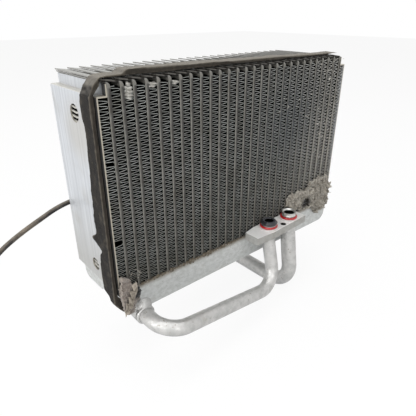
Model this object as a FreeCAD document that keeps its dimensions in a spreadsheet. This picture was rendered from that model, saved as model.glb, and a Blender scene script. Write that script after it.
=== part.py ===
"""Air conditioning evaporator: a brazed core of flat tubes and corrugated fins over two
tanks, with a pair of pipes, a connection block, a foam gasket and a temperature sensor.

Frame: +X along the core, +Y to its back, +Z up. The origin is the centre of the
connection block's bolt hole, on the block's top face. All sizes are in millimetres.
"""

import FreeCAD, Part
import math
import os
import Sketcher
from FreeCAD import Vector

doc = FreeCAD.newDocument("evaporator")

# Driving dimensions

SIZES = {
    # Where the core stands from the bolt hole
    "first_tube_x": -205.0,
    "core_front_y": 18.5,
    # Flat tubes
    "tube_count": 28,
    "tube_pitch": 11.5,
    "tube_thick": 3.0,
    "core_depth": 89.0,
    "lip_corner": 222.0,
    "lip_reach": 16.5,
    "first_lip_reach": 4.0,
    "lip_rise": 2.7,
    "lip_thick": 1.0,
    "lip_bend": 4.0,
    "first_lip_fillet": 1.0,
    "tongue_inset": 3.0,
    # Corrugated fins, in groups of columns
    "fin_columns_per_bank": 5,
    "fin_folds": 18,
    "fin_sheet": 0.8,
    "fin_gap": 0.15,
    "fin_inset": 1.0,
    "fin_top": 214.5,
    "ledge_fin_gap": 1.6,
    # End plates
    "plate_thick": 1.2,
    "plate_foot": 25.5,
    "ledge_top": 212.3,
    "flange_rise": 8.7,
    "plate_bend": 1.1,
    "plate_gap": 0.3,
    "upper_hole_bore": 16.0,
    "upper_hole_height": 193.0,
    "lower_hole_bore": 13.5,
    "lower_hole_height": 41.5,
    # Tanks and the slotted header plate
    "tank_height": 30.0,
    "header_thick": 2.0,
    "slot_gap": 0.1,
    "tank_wall": 2.0,
    "tank_right_end": 9.5,
    "front_tank_left": 11.0,
    "front_tank_depth": 43.0,
    "front_tank_corner": 12.0,
    "rear_tank_left": -5.5,
    "tank_gap": 2.5,
    "rear_tank_floor": 2.7,
    "rear_tank_round": 9.0,
    # Connection block
    "block_thick": 9.0,
    "block_left": -50.5,
    "block_right": 39.3,
    "block_front_left": -4.7,
    "block_kink_x": -25.0,
    "block_kink_y": -6.7,
    "block_front_right": -3.3,
    "block_back_left": 14.8,
    "block_bevel_x": -34.0,
    "block_gap": 0.3,
    "bolt_bore": 7.0,
    # Spigots, their seals and the sleeve
    "port_half_span": 18.75,
    "left_port_y": 7.2,
    "right_port_y": 7.4,
    "land_bore": 24.5,
    "land_height": 0.8,
    "spigot_outer": 16.0,
    "spigot_wall": 1.6,
    "spigot_seat": 5.0,
    "spigot_bead": 0.8,
    "right_spigot_rise": 8.6,
    "left_spigot_rise": 5.9,
    "seal_section": 2.6,
    "seal_gap": 0.1,
    "sleeve_outer": 20.4,
    "sleeve_bore": 10.4,
    "sleeve_height": 3.1,
    "sleeve_slope": 2.4,
    "sleeve_plug": 3.0,
    # Pipes
    "liquid_outer": 15.9,
    "liquid_wall": 1.5,
    "liquid_bend": 24.0,
    "liquid_axis_x": 12.0,
    "liquid_axis_z": -4.4,
    "liquid_reach": 43.0,
    "liquid_corner_y": -8.6,
    "liquid_corner_z": -78.0,
    "suction_outer": 19.0,
    "suction_wall": 1.5,
    "suction_bend": 28.6,
    "suction_corner_y": -6.1,
    "suction_run_z": -98.5,
    "suction_tail_y": 143.0,
    "suction_tail_angle": 120.0,
    "riser_straight": 4.0,
    # Sockets that join the pipes to the tanks
    "pipe_gap": 0.1,
    "socket_outer": 20.4,
    "socket_front": 3.0,
    "socket_back": 12.0,
    "socket_dome": 19.0,
    "socket_dome_shift": 1.6,
    "socket_dome_rise": 7.0,
    "socket_floor": 0.3,
    "outlet_outer": 23.0,
    "outlet_length": 9.0,
    "outlet_seat": 5.0,
    # Foam gasket and the torn foam left on the face
    "foam_gap": 0.3,
    "gasket_thick": 4.4,
    "gasket_front": 3.0,
    "gasket_top_back": 20.0,
    "gasket_wide_back": 25.0,
    "gasket_foot": 17.0,
    "gasket_foot_rise": 3.0,
    "gasket_tail": 9.0,
    "gasket_corner": 4.0,
    "gasket_step_x": 17.5,
    "gasket_step": 3.4,
    "gasket_thin": 1.7,
    "gasket_right_inset": 2.5,
    "scrap_thick": 3.5,
    "fold_thick": 4.5,
    # Temperature sensor, its cable and its connector
    "sensor_x": 44.0,
    "sensor_z": 94.5,
    "sensor_long": 22.0,
    "sensor_deep": 10.0,
    "sensor_high": 12.0,
    "sensor_round": 2.5,
    "cable_bore": 5.0,
    "connector_wide": 12.0,
    "connector_deep": 9.0,
    "connector_long": 26.0,
    "latch_rise": 1.5,
}

sheet = doc.addObject("Spreadsheet::Sheet", "sizes")
for row, (alias, number) in enumerate(SIZES.items(), start=1):
    sheet.set(f"A{row}", alias)
    sheet.set(f"B{row}", str(number))
    sheet.setAlias(f"B{row}", alias)
doc.recompute()


def size(alias):
    """The number in the cell of that alias."""
    return float(getattr(sheet, alias))


def bound(text):
    """The expression with each alias pointing at its cell."""
    words = []
    for word in text.replace("(", " ( ").replace(")", " ) ").split():
        words.append(f"sizes.{word}" if word in SIZES else word)
    return " ".join(words)


NODES = []

# Places that several pieces share, as expressions in the core's own frame, whose origin is
# the first tube's centre, the core's front and the tanks' underside

TUBE_HALF = "tube_thick / 2"
LAST_TUBE = "( tube_count - 1 ) * tube_pitch"
FIN_WIDTH = "( tube_pitch - tube_thick )"
PLATE_INNER = f"( {TUBE_HALF} + {FIN_WIDTH} )"
PLATE_OUTER = f"( {PLATE_INNER} + plate_thick )"
HEADER_UNDER = "( tank_height - header_thick )"
TANK_FLOOR = "( header_thick - tank_height - block_thick )"
REAR_TANK_FRONT = "( front_tank_depth + tank_gap )"


def place(item, across="0", back="0", up="0"):
    """Ties the item's place to the core's frame and the offsets given."""
    item.setExpression(".Placement.Base.x", bound(f"first_tube_x + {across}"))
    item.setExpression(".Placement.Base.y", bound(f"core_front_y + {back}"))
    item.setExpression(".Placement.Base.z", bound(f"{TANK_FLOOR} + {up}"))


# Sketches and features


def new_body(label):
    """An empty body that is a piece of its own."""
    body = doc.addObject("PartDesign::Body", label)
    body.Label = label
    NODES.append(body)
    return body


def new_sketch(body, role, name, lift=None):
    """A sketch on one of the body's origin planes, lifted along the plane's normal."""
    plane = [f for f in body.Origin.OriginFeatures if f.Role == role][0]
    sketch = body.newObject("Sketcher::SketchObject", name)
    sketch.AttachmentSupport = (plane, "")
    sketch.MapMode = "FlatFace"
    if lift:
        sketch.setExpression(".AttachmentOffset.Base.z", bound(lift))
    return sketch


def draw_outline(sketch, corners):
    """A closed outline whose corners are pairs of expressions from the sketch's origin."""
    spots = [[evaluate(across), evaluate(up)] for across, up in corners]
    count = len(spots)
    first = sketch.GeometryCount
    for index in range(count):
        start = Vector(*spots[index], 0)
        end = Vector(*spots[(index + 1) % count], 0)
        sketch.addGeometry(Part.LineSegment(start, end), False)
    for index in range(count):
        after = first + (index + 1) % count
        sketch.addConstraint(Sketcher.Constraint("Coincident", first + index, 2, after, 1))
    for index, (spot, texts) in enumerate(zip(spots, corners)):
        for kind, number, text in zip(("DistanceX", "DistanceY"), spot, texts):
            made = sketch.addConstraint(Sketcher.Constraint(kind, -1, 1, first + index, 1, number))
            sketch.setExpression(f"Constraints[{made}]", bound(text))


def draw_circle(sketch, across, up, bore):
    """A circle at a place given by expressions, with its diameter as one."""
    centre = Vector(evaluate(across), evaluate(up), 0)
    index = sketch.addGeometry(Part.Circle(centre, Vector(0, 0, 1), evaluate(bore) / 2), False)
    for kind, number, text in (("DistanceX", centre.x, across), ("DistanceY", centre.y, up)):
        made = sketch.addConstraint(Sketcher.Constraint(kind, -1, 1, index, 3, number))
        sketch.setExpression(f"Constraints[{made}]", bound(text))
    made = sketch.addConstraint(Sketcher.Constraint("Diameter", index, evaluate(bore)))
    sketch.setExpression(f"Constraints[{made}]", bound(bore))


def evaluate(text):
    """The number that an expression of the sheet gives."""
    return float(sheet.evalExpression(bound(text).replace("sizes.", "")))


def pad(body, sketch, length, name, reverse=False):
    """A pad whose length is an expression."""
    feature = body.newObject("PartDesign::Pad", name)
    feature.Profile = sketch
    feature.Reversed = reverse
    feature.setExpression("Length", bound(length))
    doc.recompute()
    return feature


def pocket(body, sketch, length, name, reverse=False):
    """A pocket whose depth is an expression, which has to take material away."""
    before = body.Shape.Volume
    feature = body.newObject("PartDesign::Pocket", name)
    feature.Profile = sketch
    feature.Reversed = reverse
    feature.setExpression("Length", bound(length))
    doc.recompute()
    if body.Shape.Volume > before - 1e-3:
        raise RuntimeError(f"{name} cuts nothing")
    return feature


def revolve(body, sketch, name):
    """A full turn of the sketch about its own vertical axis."""
    feature = body.newObject("PartDesign::Revolution", name)
    feature.Profile = sketch
    feature.ReferenceAxis = (sketch, ["V_Axis"])
    feature.Angle = 360.0
    doc.recompute()
    return feature


def round_edges(body, base, radius, name, chosen):
    """A fillet on the straight edges whose middle passes the test."""
    edges = []
    for number, edge in enumerate(base.Shape.Edges, start=1):
        if isinstance(edge.Curve, Part.Line) and chosen(edge.CenterOfMass, edge):
            edges.append(f"Edge{number}")
    if not edges:
        raise RuntimeError(f"{name} finds no edge")
    feature = body.newObject("PartDesign::Fillet", name)
    feature.Base = (base, edges)
    feature.setExpression("Radius", bound(radius))
    doc.recompute()
    return feature


def along(edge, direction):
    """Whether a straight edge runs along the direction."""
    return abs(abs(edge.Curve.Direction.dot(direction)) - 1) < 1e-6


def near(first, second):
    """Whether two lengths are the same to a hundredth of a millimetre."""
    return abs(first - second) < 0.01


ACROSS, BACK, UP = Vector(1, 0, 0), Vector(0, 1, 0), Vector(0, 0, 1)


# Flat tubes: two plates brazed together, whose top is bent over as a lip that laps the next


def flat_tube(index):
    """One flat tube with its bent lip and the tongue that fits the header plate."""
    body = new_body(f"tube_{index + 1:02d}")
    reach = "lip_reach" if index else "first_lip_reach"
    slope = "lip_rise / ( lip_reach + tube_thick / 2 )"
    rise = f"( {reach} + {TUBE_HALF} ) * {slope}"
    strip = new_sketch(body, "XZ_Plane", f"strip_{index}")
    draw_outline(
        strip,
        [
            (f"-( {TUBE_HALF} )", "tank_height"),
            (f"-( {TUBE_HALF} )", f"lip_corner + tube_thick * {slope} - lip_thick"),
            (f"-( {reach} )", f"lip_corner + {rise} - lip_thick"),
            (f"-( {reach} )", f"lip_corner + {rise}"),
            (TUBE_HALF, "lip_corner"),
            (TUBE_HALF, "tank_height"),
        ],
    )
    stem = pad(body, strip, "core_depth", f"stem_{index}", reverse=True)
    right = size("tube_thick") / 2
    corner = size("lip_corner")
    bent = round_edges(
        body,
        stem,
        "lip_bend",
        f"outer_bend_{index}",
        lambda middle, edge: along(edge, BACK) and near(middle.x, right) and near(middle.z, corner),
    )
    round_edges(
        body,
        bent,
        "( lip_bend - lip_thick )" if index else "first_lip_fillet",
        f"inner_bend_{index}",
        lambda middle, edge: along(edge, BACK) and near(middle.x, -right) and middle.z > corner / 2,
    )
    foot = new_sketch(body, "XY_Plane", f"foot_{index}", "tank_height")
    draw_outline(
        foot,
        [
            (f"-( {TUBE_HALF} )", "tongue_inset"),
            (TUBE_HALF, "tongue_inset"),
            (TUBE_HALF, "core_depth - tongue_inset"),
            (f"-( {TUBE_HALF} )", "core_depth - tongue_inset"),
        ],
    )
    pad(body, foot, "header_thick", f"tongue_{index}", reverse=True)
    place(body, f"{index} * tube_pitch")


# Corrugated fins: one fold, repeated up the column, and the columns in banks


def fin_column(name, top):
    """The strip of folds that fills the space beside a tube, up to the height given."""
    body = doc.addObject("PartDesign::Body", name)
    fold_rise = f"( {top} - tank_height - fin_gap ) / fin_folds"
    left = f"{TUBE_HALF} + fin_gap"
    right = f"{TUBE_HALF} + {FIN_WIDTH} - fin_gap"
    fold = new_sketch(body, "XZ_Plane", f"{name}_fold")
    draw_outline(
        fold,
        [
            (left, "tank_height + fin_gap"),
            (f"{left} + fin_sheet", "tank_height + fin_gap"),
            (right, f"tank_height + fin_gap + {fold_rise} / 2"),
            (f"{left} + fin_sheet", f"tank_height + fin_gap + {fold_rise}"),
            (left, f"tank_height + fin_gap + {fold_rise}"),
            (f"{right} - fin_sheet", f"tank_height + fin_gap + {fold_rise} / 2"),
        ],
    )
    fold_pad = pad(body, fold, "core_depth - 2 * fin_inset", f"{name}_pad", reverse=True)
    column = body.newObject("PartDesign::LinearPattern", f"{name}_folds")
    column.Originals = [fold_pad]
    column.Direction = (fold, ["V_Axis"])
    column.setExpression("Length", bound(f"{fold_rise} * ( fin_folds - 1 )"))
    column.setExpression("Occurrences", bound("fin_folds"))
    column.Refine = True
    body.Tip = column
    doc.recompute()
    return body


def fin_bank(number, inner, outer, places):
    """A bank of columns, each a solid of its own. The core's two outer ones end under a ledge."""
    copies = []
    for index in places:
        under_ledge = index in (-1, int(size("tube_count")) - 1)
        copy = (outer if under_ledge else inner).Shape.copy()
        copy.translate(Vector(index * size("tube_pitch"), 0, 0))
        copies.append(copy)
    bank = doc.addObject("Part::Feature", f"fin_bank_{number}")
    bank.Shape = Part.makeCompound(copies)
    place(bank, "0", "fin_inset")
    NODES.append(bank)


# End plates: a sheet that turns in over the last column and up beside the last tube


def end_plate(label, turned):
    """One end plate. The right one is the same sheet, turned half round."""
    body = new_body(label)
    profile = new_sketch(body, "XZ_Plane", f"{label}_profile")
    flange = f"-( {TUBE_HALF} + plate_gap )"
    flange_top = "ledge_top + flange_rise"
    draw_outline(
        profile,
        [
            (f"- {PLATE_OUTER}", "plate_foot"),
            (f"- {PLATE_INNER}", "plate_foot"),
            (f"- {PLATE_INNER}", "ledge_top - plate_thick"),
            (flange, "ledge_top - plate_thick"),
            (flange, flange_top),
            (f"{flange} - plate_thick", flange_top),
            (f"{flange} - plate_thick", "ledge_top"),
            (f"- {PLATE_OUTER}", "ledge_top"),
        ],
    )
    web = pad(body, profile, "core_depth", f"{label}_sheet", reverse=True)
    outer = evaluate(f"- {PLATE_OUTER}")
    ledge = size("ledge_top")
    round_edges(
        body,
        web,
        "plate_bend",
        f"{label}_bend",
        lambda middle, edge: along(edge, BACK) and near(middle.x, outer) and near(middle.z, ledge),
    )
    holes = new_sketch(body, "YZ_Plane", f"{label}_holes", f"- {PLATE_OUTER}")
    draw_circle(holes, "core_depth / 2", "upper_hole_height", "upper_hole_bore")
    draw_circle(holes, "core_depth / 2", "lower_hole_height", "lower_hole_bore")
    pocket(body, holes, "plate_thick", f"{label}_bores", reverse=True)
    if turned:
        body.Placement = FreeCAD.Placement(Vector(0, 0, 0), FreeCAD.Rotation(UP, 180))
        place(body, LAST_TUBE, "core_depth")
    else:
        place(body)


# Tanks: two drawn pans under one slotted header plate


def header_plate():
    """The plate that closes both tanks, with a slot for each tube's tongue."""
    body = new_body("header_plate")
    edge = f"( {PLATE_INNER} - plate_gap )"
    field = new_sketch(body, "XY_Plane", "header_field", HEADER_UNDER)
    draw_outline(
        field,
        [
            (f"- {edge}", "0"),
            (f"{LAST_TUBE} + {edge}", "0"),
            (f"{LAST_TUBE} + {edge}", "core_depth"),
            (f"- {edge}", "core_depth"),
        ],
    )
    pad(body, field, "header_thick", "header_sheet")
    slot = new_sketch(body, "XY_Plane", "header_slot", "tank_height")
    draw_outline(
        slot,
        [
            (f"-( {TUBE_HALF} + slot_gap )", "tongue_inset - slot_gap"),
            (f"{TUBE_HALF} + slot_gap", "tongue_inset - slot_gap"),
            (f"{TUBE_HALF} + slot_gap", "core_depth - tongue_inset + slot_gap"),
            (f"-( {TUBE_HALF} + slot_gap )", "core_depth - tongue_inset + slot_gap"),
        ],
    )
    first_slot = pocket(body, slot, "header_thick", "first_slot")
    slots = body.newObject("PartDesign::LinearPattern", "slots")
    slots.Originals = [first_slot]
    slots.Direction = (slot, ["H_Axis"])
    slots.setExpression("Length", bound(LAST_TUBE))
    slots.setExpression("Occurrences", bound("tube_count"))
    body.Tip = slots
    place(body)


def pan(label, left, front, depth, floor, radius, rounded):
    """A drawn tank of even wall, open at the top, with the chosen lower edges rounded."""
    body = new_body(label)
    plan = new_sketch(body, "XY_Plane", f"{label}_plan", floor)
    right = f"{LAST_TUBE} + tank_right_end"
    back = f"{front} + {depth}"
    draw_outline(plan, [(left, front), (right, front), (right, back), (left, back)])
    block = pad(body, plan, f"{HEADER_UNDER} - {floor}", f"{label}_block")
    envelope = round_edges(body, block, radius, f"{label}_round", rounded)
    top = evaluate(HEADER_UNDER)
    faces = []
    for number, face in enumerate(envelope.Shape.Faces, start=1):
        if near(face.CenterOfMass.z, top):
            faces.append(f"Face{number}")
    shell = body.newObject("PartDesign::Thickness", f"{label}_wall")
    shell.Base = (envelope, faces)
    shell.Reversed = True
    shell.Join = 1
    shell.setExpression("Value", bound("tank_wall"))
    doc.recompute()
    if not 0 < body.Shape.Volume < envelope.Shape.Volume:
        raise RuntimeError(f"{label} isn't hollow")
    place(body)
    return envelope.Shape.copy()


def front_tank():
    """The front tank, square but for one rounded end corner."""
    right = evaluate(f"{LAST_TUBE} + tank_right_end")
    return pan(
        "front_tank",
        "front_tank_left",
        "0",
        "front_tank_depth",
        "0",
        "front_tank_corner",
        lambda middle, edge: along(edge, BACK) and near(middle.x, right) and near(middle.z, 0),
    )


def rear_tank():
    """The rear tank, rounded along both of its lower edges."""
    floor = size("rear_tank_floor")
    return pan(
        "rear_tank",
        "rear_tank_left",
        REAR_TANK_FRONT,
        f"( core_depth - {REAR_TANK_FRONT} )",
        "rear_tank_floor",
        "rear_tank_round",
        lambda middle, edge: along(edge, ACROSS) and near(middle.z, floor),
    )


# Connection block, spigots, seals and sleeve: placed from the bolt hole


def connection_block():
    """The flat bar that takes the expansion valve, with its bolt hole and two ports."""
    body = new_body("connection_block")
    plan = new_sketch(body, "XY_Plane", "block_plan")
    back = "core_front_y - block_gap"
    draw_outline(
        plan,
        [
            ("block_left", "block_front_left"),
            ("block_kink_x", "block_kink_y"),
            ("block_right", "block_front_right"),
            ("block_right", back),
            ("block_bevel_x", back),
            ("block_left", "block_back_left"),
        ],
    )
    pad(body, plan, "block_thick", "block_bar", reverse=True)
    lands = new_sketch(body, "XY_Plane", "block_lands")
    draw_circle(lands, "- port_half_span", "left_port_y", "land_bore")
    draw_circle(lands, "port_half_span", "right_port_y", "land_bore")
    pad(body, lands, "land_height", "port_lands")
    flush = new_sketch(body, "XY_Plane", "block_flush", "land_height")
    draw_outline(
        flush,
        [
            ("block_left", back),
            ("block_right", back),
            ("block_right", f"{back} + land_bore"),
            ("block_left", f"{back} + land_bore"),
        ],
    )
    pocket(body, flush, "land_height", "flush_back")
    ports = new_sketch(body, "XY_Plane", "block_ports", "land_height")
    draw_circle(ports, "0", "0", "bolt_bore")
    draw_circle(ports, "- port_half_span", "left_port_y", "spigot_outer")
    draw_circle(ports, "port_half_span", "right_port_y", "spigot_outer")
    pocket(body, ports, "land_height + spigot_seat", "block_port_bores")
    through = new_sketch(body, "XY_Plane", "block_through")
    draw_circle(through, "0", "0", "bolt_bore")
    draw_circle(through, "- port_half_span", "left_port_y", "spigot_outer - 2 * spigot_wall")
    draw_circle(through, "port_half_span", "right_port_y", "spigot_outer - 2 * spigot_wall")
    pocket(body, through, "block_thick", "block_through_bores")
    seats = new_sketch(body, "XY_Plane", "block_seats", "- block_thick")
    draw_circle(seats, "- port_half_span", "left_port_y", "liquid_outer + 2 * pipe_gap")
    draw_circle(seats, "port_half_span", "right_port_y", "suction_outer + 2 * pipe_gap")
    pocket(body, seats, "( block_thick - spigot_seat ) / 2", "block_pipe_seats", reverse=True)


def at_port(item, across, back):
    """Ties the item's axis to one of the two ports."""
    item.setExpression(".Placement.Base.x", bound(across))
    item.setExpression(".Placement.Base.y", bound(back))


def turned(label, outline, across, back):
    """A turned piece on one of the two ports."""
    body = new_body(label)
    profile = new_sketch(body, "XZ_Plane", f"{label}_profile")
    draw_outline(profile, outline)
    revolve(body, profile, f"{label}_turning")
    at_port(body, across, back)


def spigots():
    """The two tube ends in the block: one bevelled, one beaded with a flared mouth."""
    inner = "spigot_outer / 2 - spigot_wall"
    outer = "spigot_outer / 2"
    crest = "spigot_outer / 2 + spigot_bead"
    bead = "land_height + seal_section + seal_gap"
    turned(
        "left_spigot",
        [
            (inner, "- spigot_seat"),
            (outer, "- spigot_seat"),
            (outer, bead),
            (crest, bead),
            (crest, f"{bead} + spigot_bead"),
            (outer, "left_spigot_rise"),
            (inner, "left_spigot_rise"),
        ],
        "- port_half_span",
        "left_port_y",
    )
    turned(
        "right_spigot",
        [
            (inner, "- spigot_seat"),
            (outer, "- spigot_seat"),
            (outer, bead),
            (crest, f"{bead} + spigot_bead"),
            (outer, f"{bead} + 2 * spigot_bead"),
            (outer, "right_spigot_rise - 2 * spigot_bead"),
            (crest, "right_spigot_rise - spigot_bead"),
            (crest, "right_spigot_rise"),
            (outer, "right_spigot_rise"),
            (inner, "right_spigot_rise - spigot_wall"),
        ],
        "port_half_span",
        "right_port_y",
    )


def sleeve():
    """The rubber cap on the left spigot, plugged into its bore and lapping its bead."""
    plug = "spigot_outer / 2 - spigot_wall - seal_gap"
    skirt = "spigot_outer / 2 + spigot_bead + seal_gap"
    low = "land_height + seal_section + seal_gap"
    top = "left_spigot_rise + sleeve_height"
    turned(
        "spigot_sleeve",
        [
            ("sleeve_bore / 2", "left_spigot_rise - sleeve_plug"),
            (plug, "left_spigot_rise - sleeve_plug"),
            (plug, "left_spigot_rise"),
            (skirt, "left_spigot_rise"),
            (skirt, low),
            ("sleeve_outer / 2 - spigot_bead", low),
            ("sleeve_outer / 2", f"{top} - sleeve_slope"),
            ("sleeve_outer / 2 - sleeve_slope", top),
            ("sleeve_bore / 2 + spigot_bead", top),
            ("sleeve_bore / 2", f"{top} - spigot_bead"),
        ],
        "- port_half_span",
        "left_port_y",
    )


def seal(label, across, back):
    """The ring seal round a spigot: a section of eight flats, lying on the block's land."""
    half = "seal_section / 2"
    flat = f"{half} * {math.tan(math.pi / 8):.6f}"
    middle = f"spigot_outer / 2 + seal_gap + {half}"
    height = f"land_height + {half}"
    turned(
        label,
        [
            (f"{middle} - {half}", f"{height} - {flat}"),
            (f"{middle} - {flat}", f"{height} - {half}"),
            (f"{middle} + {flat}", f"{height} - {half}"),
            (f"{middle} + {half}", f"{height} - {flat}"),
            (f"{middle} + {half}", f"{height} + {flat}"),
            (f"{middle} + {flat}", f"{height} + {half}"),
            (f"{middle} - {flat}", f"{height} + {half}"),
            (f"{middle} - {half}", f"{height} + {flat}"),
        ],
        across,
        back,
    )


# Pipes and cables: straight runs joined by tangent arcs


def bent_path(points, radii):
    """A wire through the points with an arc of the given radius at each inner one."""
    edges = []
    start = points[0]
    for before, corner, after, radius in zip(points, points[1:], points[2:], radii):
        back = (before - corner).normalize()
        ahead = (after - corner).normalize()
        half_turn = (math.pi - back.getAngle(ahead)) / 2
        reach = radius * math.tan(half_turn)
        enter = corner + back * reach
        leave = corner + ahead * reach
        to_centre = (back + ahead).normalize()
        middle = corner + to_centre * (radius / math.cos(half_turn) - radius)
        edges.append(Part.LineSegment(start, enter).toShape())
        edges.append(Part.Arc(enter, middle, leave).toShape())
        start = leave
    edges.append(Part.LineSegment(start, points[-1]).toShape())
    return Part.Wire(edges)


def swept(path, radius):
    """The solid that a disc of the radius leaves along the path."""
    first = path.Edges[0]
    heading = first.tangentAt(first.FirstParameter)
    ring = Part.Circle(first.valueAt(first.FirstParameter), heading, radius).toShape()
    return path.makePipeShell([Part.Wire([ring])], True, False)


def pipe(label, points, radii, outer, wall):
    """A bent pipe of round section, open at both ends."""
    path = bent_path(points, radii)
    shell = swept(path, outer / 2).cut(swept(path, outer / 2 - wall))
    item = doc.addObject("Part::Feature", label)
    item.Shape = shell
    item.Label = label
    NODES.append(item)
    print(label, "length", round(path.Length, 1), "radii", [round(r, 1) for r in radii])
    return path


def seat_height():
    """How high the pipes reach into the block's underside."""
    return -(size("block_thick") + size("spigot_seat")) / 2


def core_origin():
    """The core's own origin, seen from the bolt hole."""
    return Vector(size("first_tube_x"), size("core_front_y"), evaluate(TANK_FLOOR))


def liquid_pipe():
    """From the front tank's socket forward, along under the tank and up to the left port."""
    origin = core_origin()
    socket = origin + Vector(size("liquid_axis_x"), -size("socket_floor"), size("liquid_axis_z"))
    port = Vector(-size("port_half_span"), size("left_port_y"), 0)
    points = [
        socket,
        Vector(socket.x, origin.y - size("liquid_reach"), socket.z),
        Vector(port.x, size("liquid_corner_y"), size("liquid_corner_z")),
        port - UP * (size("block_thick") + size("riser_straight")),
        port + UP * seat_height(),
    ]
    bend = size("liquid_bend")
    pipe("liquid_pipe", points, [bend, bend, bend], size("liquid_outer"), size("liquid_wall"))


def liquid_socket(tank):
    """The domed elbow round the front tank's lower left corner, which the pipe ends in."""
    axis = Vector(size("liquid_axis_x"), 0, size("liquid_axis_z"))
    front = axis - BACK * size("socket_front")
    outer = size("socket_outer") / 2
    seat = size("socket_front") - size("socket_floor")
    barrel = Part.makeCylinder(outer, size("socket_front") + size("socket_back"), front, BACK)
    dome_base = axis + Vector(size("socket_dome_shift"), size("socket_back") - size("socket_dome") / 2, 0)
    neck = Part.makeCylinder(size("socket_dome") / 2, size("socket_dome_rise"), dome_base, UP)
    dome = Part.makeSphere(size("socket_dome") / 2, dome_base + UP * size("socket_dome_rise"))
    room = size("socket_dome")
    bore_radius = size("liquid_outer") / 2 + size("pipe_gap")
    bore = Part.makeCylinder(bore_radius, seat + room, front - BACK * room, BACK)
    item = doc.addObject("Part::Feature", "liquid_socket")
    item.Shape = barrel.fuse([neck, dome]).cut(tank).cut(bore).removeSplitter()
    place(item)
    NODES.append(item)


def suction_tail():
    """The tail's corner below the tanks, its heading, and its end in the outlet socket."""
    lean = math.radians(size("suction_tail_angle"))
    corner = Vector(size("port_half_span"), size("suction_tail_y"), size("suction_run_z"))
    heading = Vector(0, math.cos(lean), math.sin(lean))
    tank_floor = evaluate(TANK_FLOOR) + size("rear_tank_floor")
    end = corner + heading * ((tank_floor - corner.z) / heading.z - size("outlet_seat"))
    return corner, heading, end


def suction_pipe():
    """From the right port down, back under the tanks and up to the rear tank."""
    port = Vector(size("port_half_span"), size("right_port_y"), 0)
    corner, _, end = suction_tail()
    points = [
        port + UP * seat_height(),
        port - UP * (size("block_thick") + size("riser_straight")),
        Vector(port.x, size("suction_corner_y"), corner.z),
        corner,
        end,
    ]
    bend = size("suction_bend")
    pipe("suction_pipe", points, [bend, bend, bend], size("suction_outer"), size("suction_wall"))


def outlet_socket(tank):
    """The socket on the rear tank's rounded edge, in line with the suction pipe's tail."""
    _, heading, end = suction_tail()
    end = end - core_origin()
    base = end - heading * (size("outlet_length") - size("outlet_seat"))
    long = size("outlet_length") + size("rear_tank_round")
    body = Part.makeCylinder(size("outlet_outer") / 2, long, base, heading)
    bore = Part.makeCylinder(size("suction_outer") / 2 + size("pipe_gap"), (end - base).Length, base, heading)
    pieces = body.cut(tank).cut(bore).Solids
    item = doc.addObject("Part::Feature", "outlet_socket")
    item.Shape = min(pieces, key=lambda piece: (piece.CenterOfMass - base).Length)
    place(item)
    NODES.append(item)


# Foam gasket, torn foam, sensor


# The side strip's wavy back edge: shares of its greatest depth and of the ledge's height

GASKET_EDGE = [
    (0.61, 0.985),
    (0.78, 0.89),
    (0.80, 0.76),
    (0.88, 0.63),
    (1.00, 0.49),
    (0.97, 0.41),
    (1.20, 0.365),
    (0.88, 0.325),
    (0.98, 0.22),
    (0.92, 0.115),
]


# The side strip's lower end, which turns under the core: places from the first tube and the
# tanks' underside

GASKET_TAIL = [
    (-11.5, 25),
    (-9.5, 21),
    (-3, 12),
    (0.5, 4),
    (-7, 2.6),
    (-13, 11),
]


def gasket():
    """The foam strip: wide down the left side, narrow and stepped along the top."""
    inner = -evaluate(PLATE_OUTER) - size("foam_gap")
    outer = inner - size("gasket_thick")
    ledge = size("ledge_top")
    foot = size("gasket_foot")
    front = size("gasket_front")
    narrow = size("gasket_top_back")
    wide = size("gasket_wide_back")
    side = [(front, foot), (front, ledge), (narrow / 2, ledge)]
    side += [(wide * depth, ledge * height) for depth, height in GASKET_EDGE]
    side.append((front * 3, foot + size("gasket_foot_rise")))
    side_face = Part.Face(Part.makePolygon([Vector(outer, y, z) for y, z in side + side[:1]]))
    under = size("lip_corner") + size("lip_rise") + size("foam_gap")
    thin = under + size("gasket_thin")
    full = thin + size("gasket_step")
    free_end = size("tube_pitch") - size("lip_reach") - size("foam_gap")
    step = size("gasket_step_x")
    right = evaluate(LAST_TUBE) - size("gasket_right_inset")
    corner = size("gasket_corner")
    low = ledge * GASKET_EDGE[1][1]
    top = [
        (outer, low),
        (outer, ledge),
        (outer + corner, ledge + 2 * corner),
        (free_end, thin - size("foam_gap")),
        (0, thin),
        (step - size("gasket_step"), thin),
        (step, full),
        (step + corner, full + size("foam_gap")),
        (right, thin),
        (right, under),
        (free_end, under),
        (free_end, size("lip_corner") - size("gasket_thin")),
        (inner, ledge + size("foam_gap")),
        (inner, low),
    ]
    top_face = Part.Face(Part.makePolygon([Vector(x, front, z) for x, z in top + top[:1]]))
    strip = top_face.extrude(BACK * (narrow - front))
    tail = [(outer, foot), (outer, foot + size("gasket_tail"))] + GASKET_TAIL
    tail_face = Part.Face(Part.makePolygon([Vector(x, front, z) for x, z in tail + tail[:1]]))
    turned_under = tail_face.extrude(BACK * size("gasket_tail"))
    item = doc.addObject("Part::Feature", "foam_gasket")
    item.Shape = side_face.extrude(ACROSS * (inner - outer)).fuse([strip, turned_under]).removeSplitter()
    place(item)
    NODES.append(item)


SCRAP_OUTLINE = [
    (-79, 30),
    (-58, 30),
    (-44, 28),
    (-34, 38),
    (-23, 40),
    (0, 39),
    (9.5, 25),
    (9.5, 16),
    (9, -3),
    (1, -11),
    (-17, -13),
    (-27, 1),
    (-39, 2),
    (-70, 11),
    (-81, 22),
]


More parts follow.
